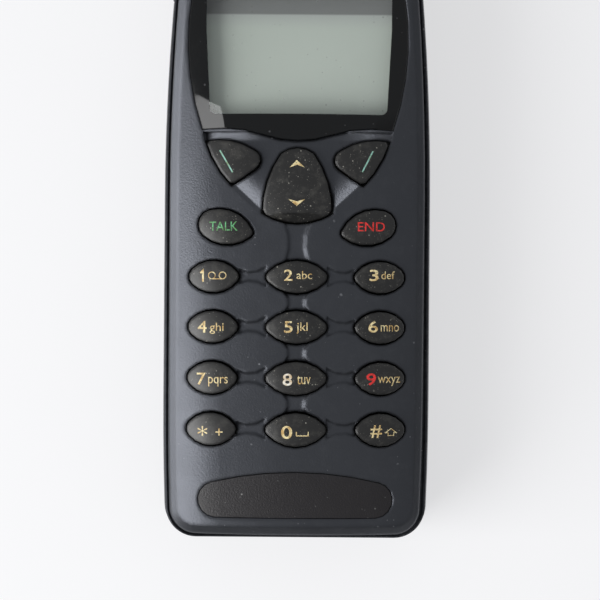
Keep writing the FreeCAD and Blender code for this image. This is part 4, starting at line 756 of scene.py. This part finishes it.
def bolder(shape, amount):
    """Widens a flat shape's outline by amount, in its own units, to draw a heavier letter."""
    moves = {}
    for v in shape.verts:
        rim = [e for e in v.link_edges if e.is_boundary]
        push = Vector((0.0, 0.0, 0.0))
        for e in rim:
            face = e.link_faces[0]
            along = e.verts[1].co - e.verts[0].co
            across = Vector((along.y, -along.x, 0.0)).normalized()
            if across.dot(face.calc_center_median() - (e.verts[0].co + e.verts[1].co) / 2) > 0:
                across.negate()
            push += across
        if rim and push.length > 1e-9:
            moves[v] = push.normalized() * amount
    for v, move in moves.items():
        v.co += move


# The least share of a stroke's width that a sharp corner counts with, so that no corner reaches too far
sharpest_corner = 0.35


def strokes(shape, runs, width):
    """Adds open or closed runs of points in mm as flat bands of one width."""
    for points, closed in runs:
        count = len(points)
        sides = []
        for i, p in enumerate(points):
            here = Vector(p)
            steps = []
            if closed or i:
                steps.append(here - Vector(points[i - 1]))
            if closed or i < count - 1:
                steps.append(Vector(points[(i + 1) % count]) - here)
            ways = [step.normalized() for step in steps]
            way = sum(ways, Vector((0.0, 0.0))).normalized()
            across = Vector((-way.y, way.x))
            corner = abs(across.dot(Vector((-ways[0].y, ways[0].x))))
            reach = width / 2 / max(sharpest_corner, corner)
            sides.append([shape.verts.new((*(here + across * reach * s), 0.0)) for s in (1, -1)])
        for i in range(count if closed else count - 1):
            a = sides[i]
            b = sides[(i + 1) % count]
            shape.faces.new((a[0], a[1], b[1], b[0]))
    return shape


def ring(centre, radius, sides=24):
    """Points of a circle in mm."""
    turn = 2 * math.pi / sides
    angles = [k * turn for k in range(sides)]
    return [(centre[0] + radius * math.cos(a), centre[1] + radius * math.sin(a)) for a in angles]


def wedge(left, tip, right, notch):
    """A chevron with a heavy middle and pointed ends, from pixels of the frame."""
    shape = bmesh.new()
    ends = [shape.verts.new((*photo_point(*p), 0.0)) for p in (left, tip, right, notch)]
    shape.faces.new((ends[0], ends[1], ends[3]))
    shape.faces.new((ends[1], ends[2], ends[3]))
    return shape


# Each legend: its key, its text, its left, right, top and bottom in the photograph's frame, its ink and the
# weight added to the letters
legends = [
    ("key_2", "2", (283.9, 292.5, 270, 281), cream, 0.012),
    ("key_2", "abc", (296.4, 311.7, 271.4, 279.3), cream, 0.0),
    ("key_3", "3", (368.7, 377.7, 270, 281.3), cream, 0.012),
    ("key_3", "def", (380.5, 393.9, 271.6, 279.4), cream, 0.0),
    ("key_4", "4", (197.8, 207, 320.8, 332.6), cream, 0.012),
    ("key_4", "ghi", (210, 224, 322.6, 333.6), cream, 0.0),
    ("key_5", "5", (283.9, 292.5, 321, 332.5), cream, 0.012),
    ("key_5", "jkl", (296.4, 307.3, 322.2, 333.4), cream, 0.0),
    ("key_6", "6", (367.7, 377.1, 320.8, 332.4), cream, 0.012),
    ("key_6", "mno", (380, 398.3, 325, 331.4), cream, 0.0),
    ("key_7", "7", (196.9, 205.9, 372.4, 384.5), cream, 0.012),
    ("key_7", "pqrs", (208.4, 228, 376.4, 386), cream, 0.0),
    ("key_8", "8", (282.6, 292, 373, 385), pale, 0.014),
    ("key_8", "tuv", (296.9, 310.3, 375, 383.6), cream, 0.0),
    ("key_9", "9", (365.8, 375.4, 373, 385), red, 0.012),
    ("key_9", "wxyz", (377.3, 399.7, 376.5, 385.6), cream, 0.0),
    ("key_star", "*", (197.4, 207.4, 425.6, 435.6), cream, 0.0),
    ("key_star", "+", (215.6, 222.7, 428, 435), cream, 0.0),
    ("key_0", "0", (281, 292, 425, 438), cream, 0.012),
    ("key_hash", "#", (370, 381.5, 424.7, 437.5), cream, 0.012),
    ("key_talk", "TALK", (210, 238, 222.3, 231.3), green, 0.0),
    ("key_end", "END", (357, 384, 223, 232), red, 0.006),
]
sign_names = {"*": "star", "+": "plus", "#": "hash"}
for node, text, spot, finish, weight in legends:
    glyphs = flat_text(text)
    if weight:
        bolder(glyphs, weight)
    fit_frame(glyphs, spot)
    lay_print("print_" + node[4:] + "_" + sign_names.get(text, text), glyphs, node, finish)

# Signs drawn with strokes: their points in the photograph's frame, their widths and radii in mm
tape_reels = ((212.3, 275.6), (223.0, 275.6))
tape_radius = 0.58
tape_width = 0.15
one_points = ((200.8, 273.2), (203.4, 270.6), (203.4, 282.0))
one_width = 0.3
space_corner_high = (296.2, 430.9)
space_corner_low = (307.9, 435.0)
space_width = 0.18
shift_points = (
    (385.0, 432.4), (390.6, 428.2), (396.0, 432.4), (393.4, 432.4), (393.4, 435.3), (387.6, 435.3),
    (387.6, 432.4)
)
shift_width = 0.13

reels = [photo_point(*p) for p in tape_reels]
reel_runs = [(ring(reel, tape_radius), True) for reel in reels]
reel_line = ([(reel[0], reels[0][1] - tape_radius) for reel in reels], False)
tape = strokes(bmesh.new(), reel_runs + [reel_line], tape_width)
lay_print("print_1_tape", tape, "key_1", cream)

one_run = [photo_point(*p) for p in one_points]
lay_print("print_1_1", strokes(bmesh.new(), [(one_run, False)], one_width), "key_1", cream)

space_left, space_top = photo_point(*space_corner_high)
space_right, space_low = photo_point(*space_corner_low)
space_run = [
    (space_left, space_top), (space_left, space_low), (space_right, space_low), (space_right, space_top)
]
lay_print("print_0_space", strokes(bmesh.new(), [(space_run, False)], space_width), "key_0", cream)

shift_run = [photo_point(*p) for p in shift_points]
lay_print("print_hash_shift", strokes(bmesh.new(), [(shift_run, True)], shift_width), "key_hash", cream)

# Chevrons of the scroll key in the photograph's frame: left end, tip, right end and notch
chevron_up = ((289.6, 169.2), (296.6, 161.8), (304.4, 169.2), (297.0, 166.6))
chevron_down = ((288.2, 200.4), (296.6, 207.2), (304.6, 200.6), (296.8, 202.6))
lay_print("print_scroll_up", wedge(*chevron_up), "key_scroll", cream)
lay_print("print_scroll_down", wedge(*chevron_down), "key_scroll", cream)

# Bars of the soft keys, in mm
bar_left = [(-13.23, -7.29), (-11.01, -11.02)]
bar_right = [(12.83, -7.26), (11.02, -10.85)]
bar_width = 0.24
for side, bar in (("left", bar_left), ("right", bar_right)):
    shape = strokes(bmesh.new(), [(bar, False)], bar_width)
    lay_print("print_soft_" + side, shape, "key_soft_" + side, teal)

# Floor, in metres
floor_half = 3.0
floor_corners = [(x * floor_half, y * floor_half, 0.0) for x, y in ((-1, -1), (1, -1), (1, 1), (-1, 1))]
floor_mesh = bpy.data.meshes.new("floor")
floor_mesh.from_pydata(floor_corners, [], [(0, 1, 2, 3)])
floor = bpy.data.objects.new("floor", floor_mesh)
bpy.context.scene.collection.objects.link(floor)


def floor_paper():
    """White paper that glows faintly where the camera, gloss or glass sees it, so that shadows stay faint."""
    t = Tree("floor_paper")
    drift = t.noise(60.0, detail=3.0)
    seen = t.shader(
        Base_Color=t.mix(drift, (168, 168, 169), (165, 165, 166)),
        Roughness=0.8,
        Emission_Color=(204, 204, 205),
        Emission_Strength=1.0,
    )
    plain = t.shader(Base_Color=t.mix(drift, (222, 222, 223), (219, 219, 220)), Roughness=0.8)
    path = t.node("ShaderNodeLightPath").outputs
    mirrored = t.math("MAXIMUM", path["Is Glossy Ray"], path["Is Transmission Ray"])
    seen_by = t.math("MAXIMUM", path["Is Camera Ray"], mirrored)
    return t.finish(t.mix_shaders(seen_by, plain, seen))


floor_mesh.materials.append(floor_paper())

# Lamp on the left: place, aim and size in metres, power in watts
lamp_place = (-0.895, -0.38, 0.605)
lamp_aim = (0.0, -0.02, 0.0)
lamp_size = (0.86, 0.95)
lamp_power = 13.0
lamp_data = bpy.data.lights.new("key_light", "AREA")
lamp_data.shape = "RECTANGLE"
lamp_data.size = lamp_size[0]
lamp_data.size_y = lamp_size[1]
lamp_data.energy = lamp_power
lamp = bpy.data.objects.new("key_light", lamp_data)
lamp.location = lamp_place
lamp.rotation_euler = (Vector(lamp_aim) - Vector(lamp_place)).to_track_quat("-Z", "Y").to_euler()
bpy.context.scene.collection.objects.link(lamp)

# Room light: its tint, how much it tilts towards +Y, and its strength from low to high
sky_tint = (0.95, 0.97, 1.0, 1.0)
sky_tilt = 0.6
sky_heights = (-0.2, 0.6)
sky_strengths = (0.13, 0.42)


def surroundings():
    """An even pale room that grows darker low down, most of all on the phone's lower side."""
    t = Tree("surroundings", "worlds")
    y, z = t.axes(1.0)[1:]
    height = t.math("MULTIPLY_ADD", y, sky_tilt, z)
    level = t.ramp(height, *sky_heights, *sky_strengths)
    return t.finish(t.shader("ShaderNodeBackground", Color=sky_tint, Strength=level), "World")


bpy.context.scene.world = surroundings()
bpy.context.scene.view_settings.view_transform = "Standard"
